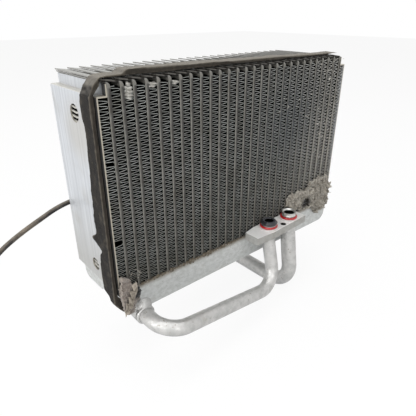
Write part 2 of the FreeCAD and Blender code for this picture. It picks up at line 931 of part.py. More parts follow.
FOLD_OUTLINE = [
    (-9.5, 48),
    (0.5, 44),
    (1.7, 35),
    (8.3, 33.5),
    (10.5, 26),
    (8, 17.5),
    (2.9, 11.8),
    (1, 3),
    (-5.7, 4),
    (-9, 6),
    (-10.6, 20),
    (-11.2, 35),
]


def loose_foam(label, outline, across, thick):
    """A flat piece of loose foam on the core's front. Its outline starts at a point along X."""
    back = -size("foam_gap")
    spots = [Vector(across + x, back, z) for x, z in outline]
    face = Part.Face(Part.makePolygon(spots + spots[:1]))
    item = doc.addObject("Part::Feature", label)
    item.Shape = face.extrude(BACK * -thick)
    place(item)
    NODES.append(item)


def foam_scrap():
    """The torn foam that hangs on the face at the lower right corner."""
    root = size("tank_height")
    outline = [(x, root + z) for x, z in SCRAP_OUTLINE]
    loose_foam("foam_scrap", outline, evaluate(LAST_TUBE), size("scrap_thick"))


def foam_fold():
    """The crumpled foam at the lower left corner, where the gasket turns under the core."""
    loose_foam("foam_fold", FOLD_OUTLINE, 0, size("fold_thick"))


def sensor():
    """The sensor's holder, clipped to the back of the fins."""
    body = new_body("sensor_holder")
    plan = new_sketch(body, "XZ_Plane", "holder_plan")
    half_long = "sensor_long / 2"
    half_high = "sensor_high / 2"
    draw_outline(
        plan,
        [
            (f"-( {half_long} )", f"-( {half_high} )"),
            (half_long, f"-( {half_high} )"),
            (half_long, half_high),
            (f"-( {half_long} )", half_high),
        ],
    )
    holder = pad(body, plan, "sensor_deep", "holder_block", reverse=True)
    round_edges(
        body,
        holder,
        "sensor_round",
        "holder_round",
        lambda middle, edge: along(edge, BACK),
    )
    place(body, "sensor_x", "core_depth + plate_gap", "sensor_z")


CABLE_ROUTE = [
    (12, 0, 0),
    (-10, 1.6, -2.9),
    (-24.5, 2.9, -6.8),
    (-39, 2.2, -12.3),
    (-54, 1.8, -18.1),
    (-69, 2.0, -25.2),
    (-83, 2.7, -33.6),
    (-95, 3.7, -44.6),
    (-103, 4.5, -58.5),
    (-106.5, 5.0, -74.5),
    (-107.3, 5.1, -90.4),
]


def cable():
    """The sensor's lead along the core's back, past its left end and down."""
    origin = core_origin()
    exit_x = size("sensor_x") - size("sensor_long") / 2
    exit_y = size("core_depth") + size("plate_gap") + size("sensor_deep") / 2
    exit_z = size("sensor_z")
    points = [origin + Vector(exit_x, exit_y, exit_z)]
    for across, back, up in CABLE_ROUTE:
        points.append(origin + Vector(across, exit_y + back, exit_z + up))
    radii = []
    for before, corner, after in zip(points, points[1:], points[2:]):
        turn = (corner - before).getAngle(after - corner)
        shorter = min((corner - before).Length, (after - corner).Length)
        radii.append(0.45 * shorter / math.tan(turn / 2))
    path = bent_path(points, radii)
    item = doc.addObject("Part::Feature", "sensor_cable")
    item.Shape = swept(path, size("cable_bore") / 2)
    NODES.append(item)
    section = math.pi * size("cable_bore") ** 2 / 4
    print("sensor_cable length", round(path.Length, 1), "radii", [round(r) for r in radii])
    print("sensor_cable volume", round(item.Shape.Volume), "section x length", round(section * path.Length))
    return points


def connector(points):
    """The two-way connector that the lead ends in, hanging in line with its last run."""
    end = points[-1]
    heading = (end - points[-2]).normalize()
    wide, deep, long = size("connector_wide"), size("connector_deep"), size("connector_long")
    box = Part.makeBox(wide, deep, long, Vector(-wide / 2, -deep / 2, 0))
    latch = Part.makeBox(wide / 3, size("latch_rise"), long / 2, Vector(-wide / 6, deep / 2, long / 4))
    item = doc.addObject("Part::Feature", "sensor_connector")
    item.Shape = box.fuse(latch).removeSplitter()
    item.Placement = FreeCAD.Placement(end, FreeCAD.Rotation(UP, heading))
    NODES.append(item)


# The whole part

count = int(size("tube_count"))
for index in range(count):
    flat_tube(index)

inner_column = fin_column("inner_column", "fin_top")
outer_column = fin_column("outer_column", "( ledge_top - plate_thick - ledge_fin_gap )")
per_bank = int(size("fin_columns_per_bank"))
columns = list(range(-1, count))
for number, first in enumerate(range(0, len(columns), per_bank), start=1):
    fin_bank(number, inner_column, outer_column, columns[first : first + per_bank])

end_plate("left_end_plate", turned=False)
end_plate("right_end_plate", turned=True)
header_plate()
front_envelope = front_tank()
rear_envelope = rear_tank()
connection_block()
spigots()
sleeve()
seal("left_seal", "- port_half_span", "left_port_y")
seal("right_seal", "port_half_span", "right_port_y")
liquid_socket(front_envelope)
liquid_pipe()
outlet_socket(rear_envelope)
suction_pipe()
gasket()
foam_scrap()
foam_fold()
sensor()
connector(cable())

doc.recompute()

for item in doc.Objects:
    if "Invalid" in item.State or "Error" in item.State:
        raise RuntimeError(f"{item.Label} failed: {item.State}")
for node in NODES:
    if node.Shape.isNull() or not node.Shape.isValid():
        raise RuntimeError(f"{node.Label} has no valid shape")

os.makedirs("parts", exist_ok=True)
for node in NODES:
    node.Shape.exportStep(f"parts/{node.Label}.step")
print(len(NODES), "nodes")
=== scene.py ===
"""Dresses an air conditioning evaporator: its brazed core, tanks, pipes, ports, foam and sensor lead."""

import logging
import math
import random
from dataclasses import dataclass, field
from enum import Enum
from typing import Any, ClassVar, Iterable, Sequence

import bmesh
import bpy
from mathutils import Matrix, Vector, noise


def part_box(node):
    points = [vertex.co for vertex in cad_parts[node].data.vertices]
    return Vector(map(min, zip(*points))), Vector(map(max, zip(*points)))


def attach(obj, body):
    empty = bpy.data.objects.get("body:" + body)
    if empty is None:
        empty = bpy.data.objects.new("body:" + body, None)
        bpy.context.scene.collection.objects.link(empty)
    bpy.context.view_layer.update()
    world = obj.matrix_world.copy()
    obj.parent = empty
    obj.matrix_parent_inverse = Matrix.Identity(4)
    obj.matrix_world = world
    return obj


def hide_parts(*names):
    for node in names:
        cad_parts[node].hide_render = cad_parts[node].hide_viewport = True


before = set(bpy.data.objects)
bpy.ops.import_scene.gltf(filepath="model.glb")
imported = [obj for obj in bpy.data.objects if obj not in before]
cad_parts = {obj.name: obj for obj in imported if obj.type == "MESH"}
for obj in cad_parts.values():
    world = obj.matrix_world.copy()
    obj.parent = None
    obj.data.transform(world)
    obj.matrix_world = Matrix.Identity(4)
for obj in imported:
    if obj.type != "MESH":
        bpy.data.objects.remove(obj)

LOG = logging.getLogger("evaporator")
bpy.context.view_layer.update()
MM = 0.001
ROOT = "root"
Point = tuple[float, float, float]
Tree = bpy.types.NodeTree
Socket = bpy.types.NodeSocket
Mesh = bpy.types.Mesh
Piece = bpy.types.Object


class Slot(Enum):
    """Names of the record's material slots for the pieces made here; nothing in this script uses them."""

    FIN = "fin_metal"
    SEAL = "seal_rubber"
    PIPE = "pipe_metal"
    FOAM = "foam"
    CABLE = "cable_sheath"


def linear(code: str) -> tuple[float, float, float, float]:
    """Turns an sRGB hex colour into linear light.

    Args:
        code: the colour as six hex digits.

    Returns:
        Red, green, blue and a full alpha.
    """
    parts = [int(code[i : i + 2], 16) / 255 for i in (0, 2, 4)]
    light = [p / 12.92 if p <= 0.04045 else ((p + 0.055) / 1.055) ** 2.4 for p in parts]
    return (light[0], light[1], light[2], 1.0)


def add_node(tree: Tree, kind: str, inputs: dict[Any, Any] | None = None, **settings: Any) -> bpy.types.Node:
    """Adds a node with its settings, its values and its links.

    Args:
        tree: the tree that gets the node.
        kind: the node's type name.
        inputs: what each input gets, by name or number: a socket to link, or a value.
        settings: the node's own properties.

    Returns:
        The new node.
    """
    node = tree.nodes.new(kind)
    for key, value in settings.items():
        setattr(node, key, value)
    for key, value in (inputs or {}).items():
        if isinstance(value, Socket):
            tree.links.new(value, node.inputs[key])
        else:
            node.inputs[key].default_value = value
    return node


@dataclass(frozen=True)
class Finish:
    """A surface: what it is made of, how it was made, the dirt on it, and the painted light and shade that some of its
    tweaks add.

    Colours are sRGB hex. Sizes are the real widths of the marks in millimetres, save the grain's: real grit and
    rolling marks are under 0.1 mm wide, too fine to show, so they are drawn 0.4 to 0.9 mm wide.
    """

    GRAIN_RANGE: ClassVar[tuple[float, float]] = (0.2, 0.8)
    DENT_RANGE: ClassVar[tuple[float, float]] = (0.3, 0.7)
    SPECK_RANGE: ClassVar[tuple[float, float]] = (0.64, 0.7)
    DARK_LIMIT: ClassVar[float] = 0.1
    FULL_GLOSS: ClassVar[float] = 0.5
    COAT_ROUGHNESS: ClassVar[float] = 0.2

    name: str
    base: str
    shade: str
    dirt: str
    metallic: float
    roughness: float
    rough_spread: float = 0.1
    mottle_mm: Point = (8.0, 8.0, 8.0)
    mottle_range: tuple[float, float] = (0.35, 0.65)
    grain_mm: Point = (0.8, 0.8, 0.8)
    grain_height: float = 0.05
    dent_mm: float = 0.0
    dent_height: float = 0.0
    dirt_mm: float = 14.0
    dirt_range: tuple[float, float] = (0.55, 0.75)
    dirt_most: float = 0.6
    speck_mm: float = 0.0
    speck_colour: str = "5A5040"
    coat: float = 0.0
    sheen: float = 0.0
    tweaks: tuple["Tweak", ...] = ()

    @staticmethod
    def patches(tree: Tree, where: Socket, size: Point, low: float, high: float, seed: float) -> Socket:
        """Makes soft patches of one real size.

        Args:
            tree: the material's tree.
            where: the object coordinates.
            size: the patches' width along X, Y and Z in millimetres.
            low: the noise value at which a patch starts.
            high: the noise value at which it is full.
            seed: a shift that keeps the patches of two finishes apart.

        Returns:
            A mask from 0 to 1.
        """
        scaled = add_node(tree, "ShaderNodeMapping", {
            "Vector": where, "Location": (seed, seed, seed), "Scale": [1 / (s * MM) for s in size]})
        cloud = add_node(tree, "ShaderNodeTexNoise", {
            "Vector": scaled.outputs[0], "Scale": 1.0, "Detail": 4.0, "Roughness": 0.6})
        mask = add_node(tree, "ShaderNodeMapRange", {
            "Value": cloud.outputs["Fac"], "From Min": low, "From Max": high}, interpolation_type="SMOOTHSTEP")
        return mask.outputs[0]

    def build(self) -> bpy.types.Material:
        """Builds the material, or returns the one already built.

        Returns:
            The material.
        """
        known = bpy.data.materials.get(self.name)
        if known:
            return known
        material = bpy.data.materials.new(self.name)
        material.use_nodes = True
        tree = material.node_tree
        tree.nodes.clear()
        where = add_node(tree, "ShaderNodeTexCoord").outputs["Object"]
        mottle = self.patches(tree, where, self.mottle_mm, *self.mottle_range, seed=0.0)
        dirt = self.patches(tree, where, (self.dirt_mm,) * 3, *self.dirt_range, seed=7.3)
        amount = add_node(tree, "ShaderNodeMath", {0: dirt, 1: self.dirt_most}, operation="MULTIPLY").outputs[0]
        layers = [(mottle, self.shade), (amount, self.dirt)]
        if self.speck_mm:
            specks = self.patches(tree, where, (self.speck_mm,) * 3, *self.SPECK_RANGE, seed=11.9)
            layers.append((specks, self.speck_colour))
        layers.extend((tweak.mask(tree, where), tweak.colour) for tweak in self.tweaks)
        colour: Any = linear(self.base)
        for mask, code in layers:
            mix = add_node(tree, "ShaderNodeMix", {0: mask, 6: colour, 7: linear(code)}, data_type="RGBA")
            colour = mix.outputs[2]
        rough = add_node(tree, "ShaderNodeMapRange", {
            "Value": mottle, "To Min": self.roughness - self.rough_spread,
            "To Max": self.roughness + self.rough_spread}).outputs[0]
        grain = self.patches(tree, where, self.grain_mm, *self.GRAIN_RANGE, seed=3.1)
        bump = add_node(tree, "ShaderNodeBump", {
            "Height": grain, "Distance": self.grain_height * MM, "Strength": 1.0}).outputs[0]
        if self.dent_mm:
            dents = self.patches(tree, where, (self.dent_mm,) * 3, *self.DENT_RANGE, seed=5.7)
            bump = add_node(tree, "ShaderNodeBump", {
                "Height": dents, "Distance": self.dent_height * MM, "Strength": 1.0, "Normal": bump}).outputs[0]
        gloss = add_node(tree, "ShaderNodeMapRange", {
            "Value": colour, "From Max": self.DARK_LIMIT, "To Max": self.FULL_GLOSS}).outputs[0]
        shader = add_node(tree, "ShaderNodeBsdfPrincipled", {
            "Base Color": colour, "Metallic": self.metallic, "Roughness": rough, "Normal": bump,
            "Specular IOR Level": gloss, "Coat Weight": self.coat, "Coat Roughness": self.COAT_ROUGHNESS,
            "Sheen Weight": self.sheen})
        add_node(tree, "ShaderNodeOutputMaterial", {"Surface": shader.outputs[0]})
        return material


@dataclass(frozen=True)
class Tweak:
    """A further colour, which comes in as some measure of the place goes from start to end."""

    UNIT: ClassVar[float] = MM

    colour: str
    most: float = 1.0
    start: float = 0.0
    end: float = 1.0

    def measure(self, tree: Tree, where: Socket) -> Socket:
        """Measures what the colour follows.

        Args:
            tree: the material's tree.
            where: the object coordinates.

        Returns:
            The measure, in metres if it is a length.
        """
        raise NotImplementedError

    def mask(self, tree: Tree, where: Socket) -> Socket:
        """Makes the colour's mask.

        Args:
            tree: the material's tree.
            where: the object coordinates.

        Returns:
            A mask from 0 to the tweak's most.
        """
        return add_node(tree, "ShaderNodeMapRange", {
            "Value": self.measure(tree, where), "From Min": self.start * self.UNIT, "From Max": self.end * self.UNIT,
            "To Max": self.most}).outputs[0]


@dataclass(frozen=True)
class AlongAxis(Tweak):
    """A colour that comes in between two places along an axis, in millimetres."""

    axis: int = 2

    def measure(self, tree: Tree, where: Socket) -> Socket:
        """Measures the place along the axis."""
        return add_node(tree, "ShaderNodeSeparateXYZ", {0: where}).outputs[self.axis]


@dataclass(frozen=True)
class Facing(Tweak):
    """A colour on what faces a direction: 1 is straight at it."""

    UNIT: ClassVar[float] = 1.0

    start: float = 0.3
    end: float = 0.95
    towards: Point = (0.0, -1.0, 0.0)

    def measure(self, tree: Tree, where: Socket) -> Socket:
        """Measures how straight the surface faces the direction."""
        normal = add_node(tree, "ShaderNodeNewGeometry").outputs["Normal"]
        return add_node(tree, "ShaderNodeVectorMath", {
            0: normal, 1: self.towards}, operation="DOT_PRODUCT").outputs["Value"]


@dataclass(frozen=True)
class OnEdges(Tweak):
    """A colour on what stands out of the surface around it, over 0.5, or lies deep in it, under 0.5."""

    UNIT: ClassVar[float] = 1.0

    def measure(self, tree: Tree, where: Socket) -> Socket:
        """Measures how far the surface stands out."""
        return add_node(tree, "ShaderNodeNewGeometry").outputs["Pointiness"]


@dataclass(frozen=True)
class AcrossPitch(Tweak):
    """A colour on a stripe of every tube, by the place across its thickness in millimetres."""

    first: float = -205.0
    pitch: float = 11.5

    def measure(self, tree: Tree, where: Socket) -> Socket:
        """Measures the place across the nearest tube, from its middle.

        Args:
            tree: the material's tree.
            where: the object coordinates.

        Returns:
            The distance, negative to the left.
        """
        beside = add_node(tree, "ShaderNodeSeparateXYZ", {0: where}).outputs[0]
        for operation, size in (("SUBTRACT", self.first - self.pitch / 2), ("FLOORED_MODULO", self.pitch),
                                ("SUBTRACT", self.pitch / 2)):
            beside = add_node(tree, "ShaderNodeMath", {0: beside, 1: size * MM}, operation=operation).outputs[0]
        return beside


@dataclass(frozen=True)
class NearPoint(Tweak):
    """A colour around a point, such as painted shade inside a small hole, by the distance in millimetres."""

    point: Point = (0.0, 0.0, 0.0)

    def measure(self, tree: Tree, where: Socket) -> Socket:
        """Measures the distance to the point."""
        return add_node(tree, "ShaderNodeVectorMath", {
            0: where, 1: Vector(self.point) * MM}, operation="DISTANCE").outputs["Value"]


@dataclass(frozen=True)
class InBox(Tweak):
    """A colour inside a box. It starts some millimetres outside and is full at the box's sides."""

    end: float = 0.0
    low: Point = (-1.0, -1.0, -1.0)
    high: Point = (1.0, 1.0, 1.0)

    def measure(self, tree: Tree, where: Socket) -> Socket:
        """Measures how far a place lies outside the box.

        Args:
            tree: the material's tree.
            where: the object coordinates.

        Returns:
            The most that it lies outside on any axis, negative inside.
        """
        low, high = Vector(self.low) * MM, Vector(self.high) * MM
        beside = add_node(tree, "ShaderNodeVectorMath", {
            0: where, 1: (low + high) / 2}, operation="SUBTRACT").outputs[0]
        away = add_node(tree, "ShaderNodeVectorMath", {0: beside}, operation="ABSOLUTE").outputs[0]
        past = add_node(tree, "ShaderNodeVectorMath", {
            0: away, 1: (high - low) / 2}, operation="SUBTRACT").outputs[0]
        sides = add_node(tree, "ShaderNodeSeparateXYZ", {0: past}).outputs
        most = add_node(tree, "ShaderNodeMath", {0: sides[0], 1: sides[1]}, operation="MAXIMUM").outputs[0]
        return add_node(tree, "ShaderNodeMath", {0: most, 1: sides[2]}, operation="MAXIMUM").outputs[0]


@dataclass(frozen=True)
class Both(Tweak):
    """A colour where two other masks overlap."""

    UNIT: ClassVar[float] = 1.0

    first: Tweak | None = None
    second: Tweak | None = None

    def measure(self, tree: Tree, where: Socket) -> Socket:
        """Multiplies the two masks."""
        return add_node(tree, "ShaderNodeMath", {
            0: self.first.mask(tree, where), 1: self.second.mask(tree, where)}, operation="MULTIPLY").outputs[0]


@dataclass(frozen=True)
class InBore(AlongAxis):
    """A colour on the wall of an upright bore, which comes in downwards: here the painted shade down a bore. Sizes in
    millimetres.
    """

    centre: tuple[float, float] = (0.0, 0.0)
    radius: float = 5.0

    def mask(self, tree: Tree, where: Socket) -> Socket:
        """Makes the mask from the height, inside the bore only.

        Args:
            tree: the material's tree.
            where: the object coordinates.

        Returns:
            A mask from 0 to the tweak's most.
        """
        level = add_node(tree, "ShaderNodeVectorMath", {0: where, 1: (1.0, 1.0, 0.0)}, operation="MULTIPLY").outputs[0]
        spot = (self.centre[0] * MM, self.centre[1] * MM, 0.0)
        away = add_node(tree, "ShaderNodeVectorMath", {0: level, 1: spot}, operation="DISTANCE").outputs["Value"]
        within = add_node(tree, "ShaderNodeMath", {0: away, 1: self.radius * MM}, operation="LESS_THAN").outputs[0]
        return add_node(tree, "ShaderNodeMath", {
            0: within, 1: super().mask(tree, where)}, operation="MULTIPLY").outputs[0]


# Brazed clad aluminium sheet: two-tone front edges with a seam, clean silver lips, brown grime; painted highlights on
# the tubes' left edges, the lips' fronts and upward faces, and painted shade inside the core, on the lips' front edges
# and under the gasket
BRAZED_TUBE = Finish("brazed_clad_aluminium_tube", "686763", "565552", "413C33", 0.3, 0.55,
                     mottle_mm=(5, 5, 9), grain_mm=(0.6, 0.6, 1.6), grain_height=0.08, dirt_mm=14,
                     dirt_range=(0.45, 0.7), tweaks=(
                         AcrossPitch("3B3A38", 0.85, start=-0.3, end=0.35),
                         # Painted highlight: a pale line on each tube's left edge
                         AcrossPitch("A5A29A", 0.6, start=-0.9, end=-1.3),
                         AlongAxis("3E3B31", 0.35, axis=2, start=90, end=0),
                         NearPoint("2B3640", 0.45, point=(22, 18, 118), start=80, end=15),
                         NearPoint("B3AFA5", 0.35, point=(104, 18, 70), start=85, end=20),
                         # Painted shade: near black on everything behind the core's front face
                         InBox("050505", 1.0, low=(-300, 19.4, -50), high=(200, 105, 181), start=0.6),
                         AlongAxis("8B8A87", 1.0, axis=2, start=183.0, end=184.6),
                         # Painted highlight: upward faces paler
                         Facing("969692", 1.0, towards=(0, 0, 1), start=0.6, end=0.9),
                         # Painted highlight: the lips' fronts pale, as on the hooks
                         InBox("77756F", 0.8, low=(-300, 0, 181.5), high=(200, 21.5, 190), start=1.5),
                         # Painted shade: the lips' front edges dark beyond each hook
                         Both("141312", 0.92,
                              first=InBox("000000", low=(-300, 0, 182.2), high=(200, 21.8, 190), start=0.6),
                              second=AcrossPitch("000000", start=-1.7, end=-2.8)),
                         # Painted shade: a dark band at the front, under the gasket
                         InBox("3A3733", 0.75, low=(-300, 0, 185.6), high=(200, 21.8, 190), start=0.5),
                         AlongAxis("8A8882", 0.9, axis=1, start=105.0, end=107.0),
                     ))
# Rolled aluminium fin stock with dust on it: pale only along its front edge, and turned near black inside the core by
# painted shade
ROLLED_FIN = Finish("rolled_aluminium_fin", "B0B3B0", "919491", "6E6A5E", 0.2, 0.6,
                    mottle_mm=(6, 6, 9), dirt_mm=25, dirt_range=(0.45, 0.7), dirt_most=0.5,
                    tweaks=(AlongAxis("E4E2DC", 0.6, axis=0, start=-60, end=70),
                            AlongAxis("5A564A", 0.3, axis=2, start=80, end=0),
                            NearPoint("8C979E", 0.35, point=(22, 18, 118), start=80, end=15),
                            # Painted shade: black from just behind the front edge
                            AlongAxis("000000", 1.0, axis=1, start=19.6, end=19.75),
                            AlongAxis("8A877F", 0.8, axis=1, start=103.5, end=106.0),
                            AlongAxis("B4B2AB", 0.9, axis=0, start=-213.4, end=-214.3)))
# The same stock where a tool has bunched and folded it over: paler, scuffed, with painted shade in its creases
CRUSHED_FIN = Finish("crushed_aluminium_fin", "A8A6A0", "85837C", "5F594D", 0.3, 0.5,
                     mottle_mm=(2, 2, 1.2), grain_height=0.1, dirt_mm=5,
                     # Pale on its ridges; painted shade darkens its creases
                     tweaks=(OnEdges("D0CEC8", 0.8, start=0.52, end=0.6), OnEdges("22211F", 0.9, start=0.47, end=0.38)))
# Rolled aluminium sheet: bright, cool, with faint upright rolling streaks, a cream front edge and painted shade on the
# left plate's front strip beside the foam
ROLLED_PLATE = Finish("rolled_aluminium_plate", "C9CCD0", "BABDC1", "A6A39C", 0.6, 0.45,
                      mottle_mm=(3, 3, 160), mottle_range=(0.3, 0.7), grain_mm=(0.5, 0.5, 30),
                      grain_height=0.03, dirt_mm=35, dirt_range=(0.5, 0.75), dirt_most=0.4,
                      tweaks=(AlongAxis("A5A4A0", 0.75, axis=2, start=70, end=0),
                              # Painted shade: the left plate's front strip, beside the foam, near black
                              InBox("1E1C1A", 0.92, low=(-230, 0, -20), high=(-190, 23.5, 190), start=1.5),
                              Facing("B3AD9F", 0.9, towards=(0, -1, 0)),
                              Facing("BDB7A8", 0.6, towards=(0, 0, 1)),
                              NearPoint("ADA79B", 0.45, point=(-216, 60, 140), start=34, end=12)))
# Brazed drawn aluminium: matt, pale blue grey, with a fine flux bloom and dirt along its top
BRAZED_TANK = Finish("brazed_drawn_aluminium_tank", "C2C4C3", "B5B7B5", "99948A", 0.5, 0.5,
                     mottle_mm=(6, 6, 4), grain_mm=(0.5, 0.5, 1.5), grain_height=0.08, dirt_mm=22,
                     dirt_range=(0.55, 0.8), dirt_most=0.4, speck_mm=1.1,
                     tweaks=(AlongAxis("6D6353", 0.85, axis=2, start=-13, end=-8.6),))
# Sawn extruded aluminium bar: pale and matt with a fine tooth and pale machined lands on top, with a painted highlight
# on its upward faces and painted shade on its front faces and in its bore
SAWN_BLOCK = Finish("sawn_extruded_aluminium_block", "B0B0AD", "A2A19D", "847E72", 0.3, 0.5,
                    mottle_mm=(7, 7, 7), grain_mm=(0.6, 3, 0.6), grain_height=0.05, dirt_mm=16, dirt_most=0.4,
                    # Painted highlight: upward faces near white
                    tweaks=(Facing("F4F4F2", 0.75, towards=(0, 0, 1), start=0.6, end=0.9),
                            # Painted shade: faces towards the front darker
                            Facing("84827C", 0.5, towards=(0, -1, 0), start=0.5, end=0.9),
                            AlongAxis("E4E4E2", 0.9, axis=2, start=0.3, end=0.6),
                            # Painted shade: the bore near black
                            InBore("11100F", 0.97, centre=(0, 0), radius=3.7, start=-0.2, end=-0.8)))
# Turned aluminium: brighter than the bar, with rings left by the tool and painted shade down both bores
TURNED_SPIGOT = Finish("turned_aluminium_spigot", "D2D2CF", "B6B6B2", "8F8B80", 0.8, 0.32,
                       mottle_mm=(4, 4, 0.7), grain_mm=(6, 6, 0.4), grain_height=0.03, dirt_mm=9, dirt_most=0.3,
                       # Painted shade: both bores near black
                       tweaks=(InBore("0E0E0D", 0.97, centre=(18.75, 7.4), radius=7.4, start=7.6, end=6.4),
                               InBore("0E0E0D", 0.97, centre=(-18.75, 7.2), radius=7.0, start=5.0, end=3.5)))
# Drawn aluminium tube, bent: satin, with shallow hammer marks, brown specks and painted shade on its undersides
DRAWN_PIPE = Finish("drawn_aluminium_pipe", "BEBDBB", "AEAEAC", "8C867A", 0.55, 0.42,
                    mottle_mm=(9, 9, 9), grain_height=0.05, dent_mm=8, dent_height=0.35,
                    dirt_mm=15, dirt_range=(0.58, 0.78), dirt_most=0.35, speck_mm=2.0, speck_colour="6B5F4C",
                    # Painted shade: undersides darker and bluer
                    tweaks=(Facing("828388", 0.75, towards=(0, 0.3, -0.95), start=-0.1, end=0.8),))
# Oiled nitrile ring: saturated red with a soft highlight
OILED_SEAL = Finish("oiled_nitrile_seal", "B81A1F", "9C1214", "5C1512", 0.0, 0.3,
                    grain_height=0.01, dirt_most=0.25, coat=0.5)
# Moulded black rubber: nearly black, dull, with painted highlights on its upward faces and lower front rim and painted
# shade down its bore
MOULDED_SLEEVE = Finish("moulded_rubber_sleeve", "1D1E22", "26272A", "45433F", 0.0, 0.3,
                        grain_height=0.02, dirt_mm=6, dirt_most=0.3, coat=0.8,
                        # Painted highlight: upward faces lighter
                        tweaks=(Facing("3C3E43", 0.8, towards=(0, 0, 1), start=0.7, end=0.95),
                                # Painted highlight: a pale band on the lower front rim
                                Both("A3A4A4", 0.85, first=AlongAxis("000000", axis=2, start=5.0, end=4.3),
                                     second=Facing("000000", towards=(-0.35, -0.94, 0), start=0.2, end=0.8)),
                                # Painted shade: the bore near black
                                InBore("030303", 0.95, centre=(-18.75, 7.2), radius=5.5, start=8.8, end=8.0),))
# Closed cell foam: dark skin outside, a dusty brown cut front and a painted highlight along the edge between
SKINNED_FOAM = Finish("closed_cell_foam_gasket", "242323", "2E2C2A", "4A443B", 0.0, 0.85,
                      mottle_mm=(6, 6, 14), grain_mm=(0.9, 0.9, 0.9), grain_height=0.3,
                      dirt_mm=12, dirt_range=(0.5, 0.75), dirt_most=0.5, speck_mm=1.3, speck_colour="4E473C",
                      tweaks=(Facing("3B362F", 0.6, towards=(0, -1, 0)),
                              Facing("79746B", 0.8, towards=(0, 0, 1), start=0.4),
                              # Painted highlight: paler where the foam stands out, along its edges
                              OnEdges("6E675B", 0.6, start=0.515, end=0.57)))
# Torn foam full of lint: fibrous, grey beige, with no gloss, and painted shade in its hollows and its deep pocket
TORN_FOAM = Finish("torn_linty_foam", "A29D92", "8B857A", "6A645A", 0.0, 0.95,
                   mottle_mm=(4, 4, 4), grain_mm=(0.6, 0.6, 0.6), grain_height=0.5,
                   dirt_mm=8, dirt_range=(0.4, 0.6), sheen=0.3,
                   tweaks=(OnEdges("C0BBB0", 0.8, start=0.52, end=0.62),
                           # Painted shade: darker in its hollows
                           OnEdges("332F29", 0.9, start=0.495, end=0.43),
                           # Painted shade: near black in the deep pocket
                           NearPoint("12100E", 0.97, point=(63, 13, 4.5), start=11, end=5)))
# Thin torn shreds of the same foam: paler where they stand off the core, with painted shade by the scrap's deep pocket
TORN_SHRED = Finish("torn_foam_shreds", "B4AFA5", "9C968B", "736C61", 0.0, 0.9,
                    mottle_mm=(2, 2, 2), grain_height=0.2, dirt_mm=6, dirt_range=(0.45, 0.65),
                    # Painted shade: near black by the scrap's deep pocket
                    tweaks=(NearPoint("1B1916", 0.95, point=(63, 13, 4.5), start=10, end=5),))
# Bright fibres caught on the tubes' edges
BRIGHT_LINT = Finish("caught_bright_fibres", "CFCBC2", "B5B0A6", "8C867B", 0.0, 0.9, mottle_mm=(2, 2, 2))
# Brown dust packed along the foot of the fins
PACKED_DUST = Finish("packed_road_dust", "736A5C", "554D41", "38332A", 0.0, 0.95,
                     mottle_mm=(1.5, 1.5, 1.5), grain_mm=(0.5, 0.5, 0.5), grain_height=0.4, dirt_mm=5)
# Crumpled film backed foam: tan, with pale creases
CREASED_FILM = Finish("creased_film_backed_foam", "857D72", "6C645A", "4C453B", 0.0, 0.7,
                      mottle_mm=(3, 3, 3), grain_height=0.15, dirt_mm=5, dirt_range=(0.5, 0.7),
                      tweaks=(OnEdges("A8A093", 0.8, start=0.54, end=0.68),))
# Matted lint on the lower left corner: pinkish brown, soft, with painted shade in a pocket
MATTED_LINT = Finish("matted_house_lint", "81776F", "6A6058", "4E473F", 0.0, 0.95,
                     mottle_mm=(3, 3, 3), grain_mm=(0.7, 0.7, 0.7), grain_height=0.5, dirt_mm=6,
                     sheen=0.3, tweaks=(OnEdges("A89E93", 0.7, start=0.5, end=0.6),
                                        # Painted shade: near black round a pocket in the lint
                                        NearPoint("0A0908", 1.0, point=(-197.5, 14, -11), start=9, end=6)))
# Moulded glass filled nylon: near black, satin
MOULDED_PLASTIC = Finish("moulded_nylon_sensor", "232323", "2C2C2C", "4B463E", 0.0, 0.5,
                         grain_height=0.03, dirt_most=0.3)
# Extruded PVC sheath: dark grey, with brown dust on it
DUSTY_SHEATH = Finish("extruded_pvc_sheath", "2B2A2A", "3A3836", "6A5F50", 0.0, 0.45,
                      mottle_mm=(5, 5, 5), grain_height=0.03, dirt_mm=18, dirt_range=(0.45, 0.7),
                      tweaks=(Facing("6B6152", 0.5, towards=(0, 0, 1)),))


def dress(name: str, finish: Finish) -> None:
    """Gives a CAD node its finish, as it is.

    Args:
        name: the node's name.
        finish: what it is made of.
    """
    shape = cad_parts[name]
    shape.data.materials.clear()
    shape.data.materials.append(finish.build())
    LOG.info("%s: %s", name, finish.name)


def seat(piece: Piece, replaced: Iterable[str] = ()) -> None:
    """Hangs a finished piece on the part and hides the CAD nodes that it stands for.

    Args:
        piece: the piece, in place.
        replaced: the CAD nodes that it stands for.
    """
    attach(piece, ROOT)
    nodes = list(replaced)
    if nodes:
        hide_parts(*nodes)
    LOG.info("%s: %d faces", piece.name, len(getattr(piece.data, "polygons", [])))


def add_object(name: str, data: bpy.types.ID) -> Piece:
    """Puts an object into the scene, at the origin.

    Args:
        name: the object's name.
        data: its mesh, curve, camera or lamp.

    Returns:
        The object.
    """
    item = bpy.data.objects.new(name, data)
    bpy.context.scene.collection.objects.link(item)
    return item


def new_object(name: str, mesh: Mesh, finish: Finish, smooth: bool = True) -> Piece:
    """Makes an object of a mesh, at the origin.

    Args:
        name: the piece's name.
        mesh: its mesh, in place.
        finish: what it is made of.
        smooth: whether its faces are shaded as one curve.

    Returns:
        The object.
    """
    mesh.name = name
    mesh.materials.clear()
    mesh.materials.append(finish.build())
    mesh.polygons.foreach_set("use_smooth", [smooth] * len(mesh.polygons))
    return add_object(name, mesh)


def mesh_of(name: str, shell: bmesh.types.BMesh) -> Mesh:
    """Turns a bmesh into a mesh and frees it.

    Args:
        name: the mesh's name.
        shell: the bmesh.

    Returns:
        The mesh.
    """
    mesh = bpy.data.meshes.new(name)
    shell.to_mesh(mesh)
    shell.free()
    return mesh


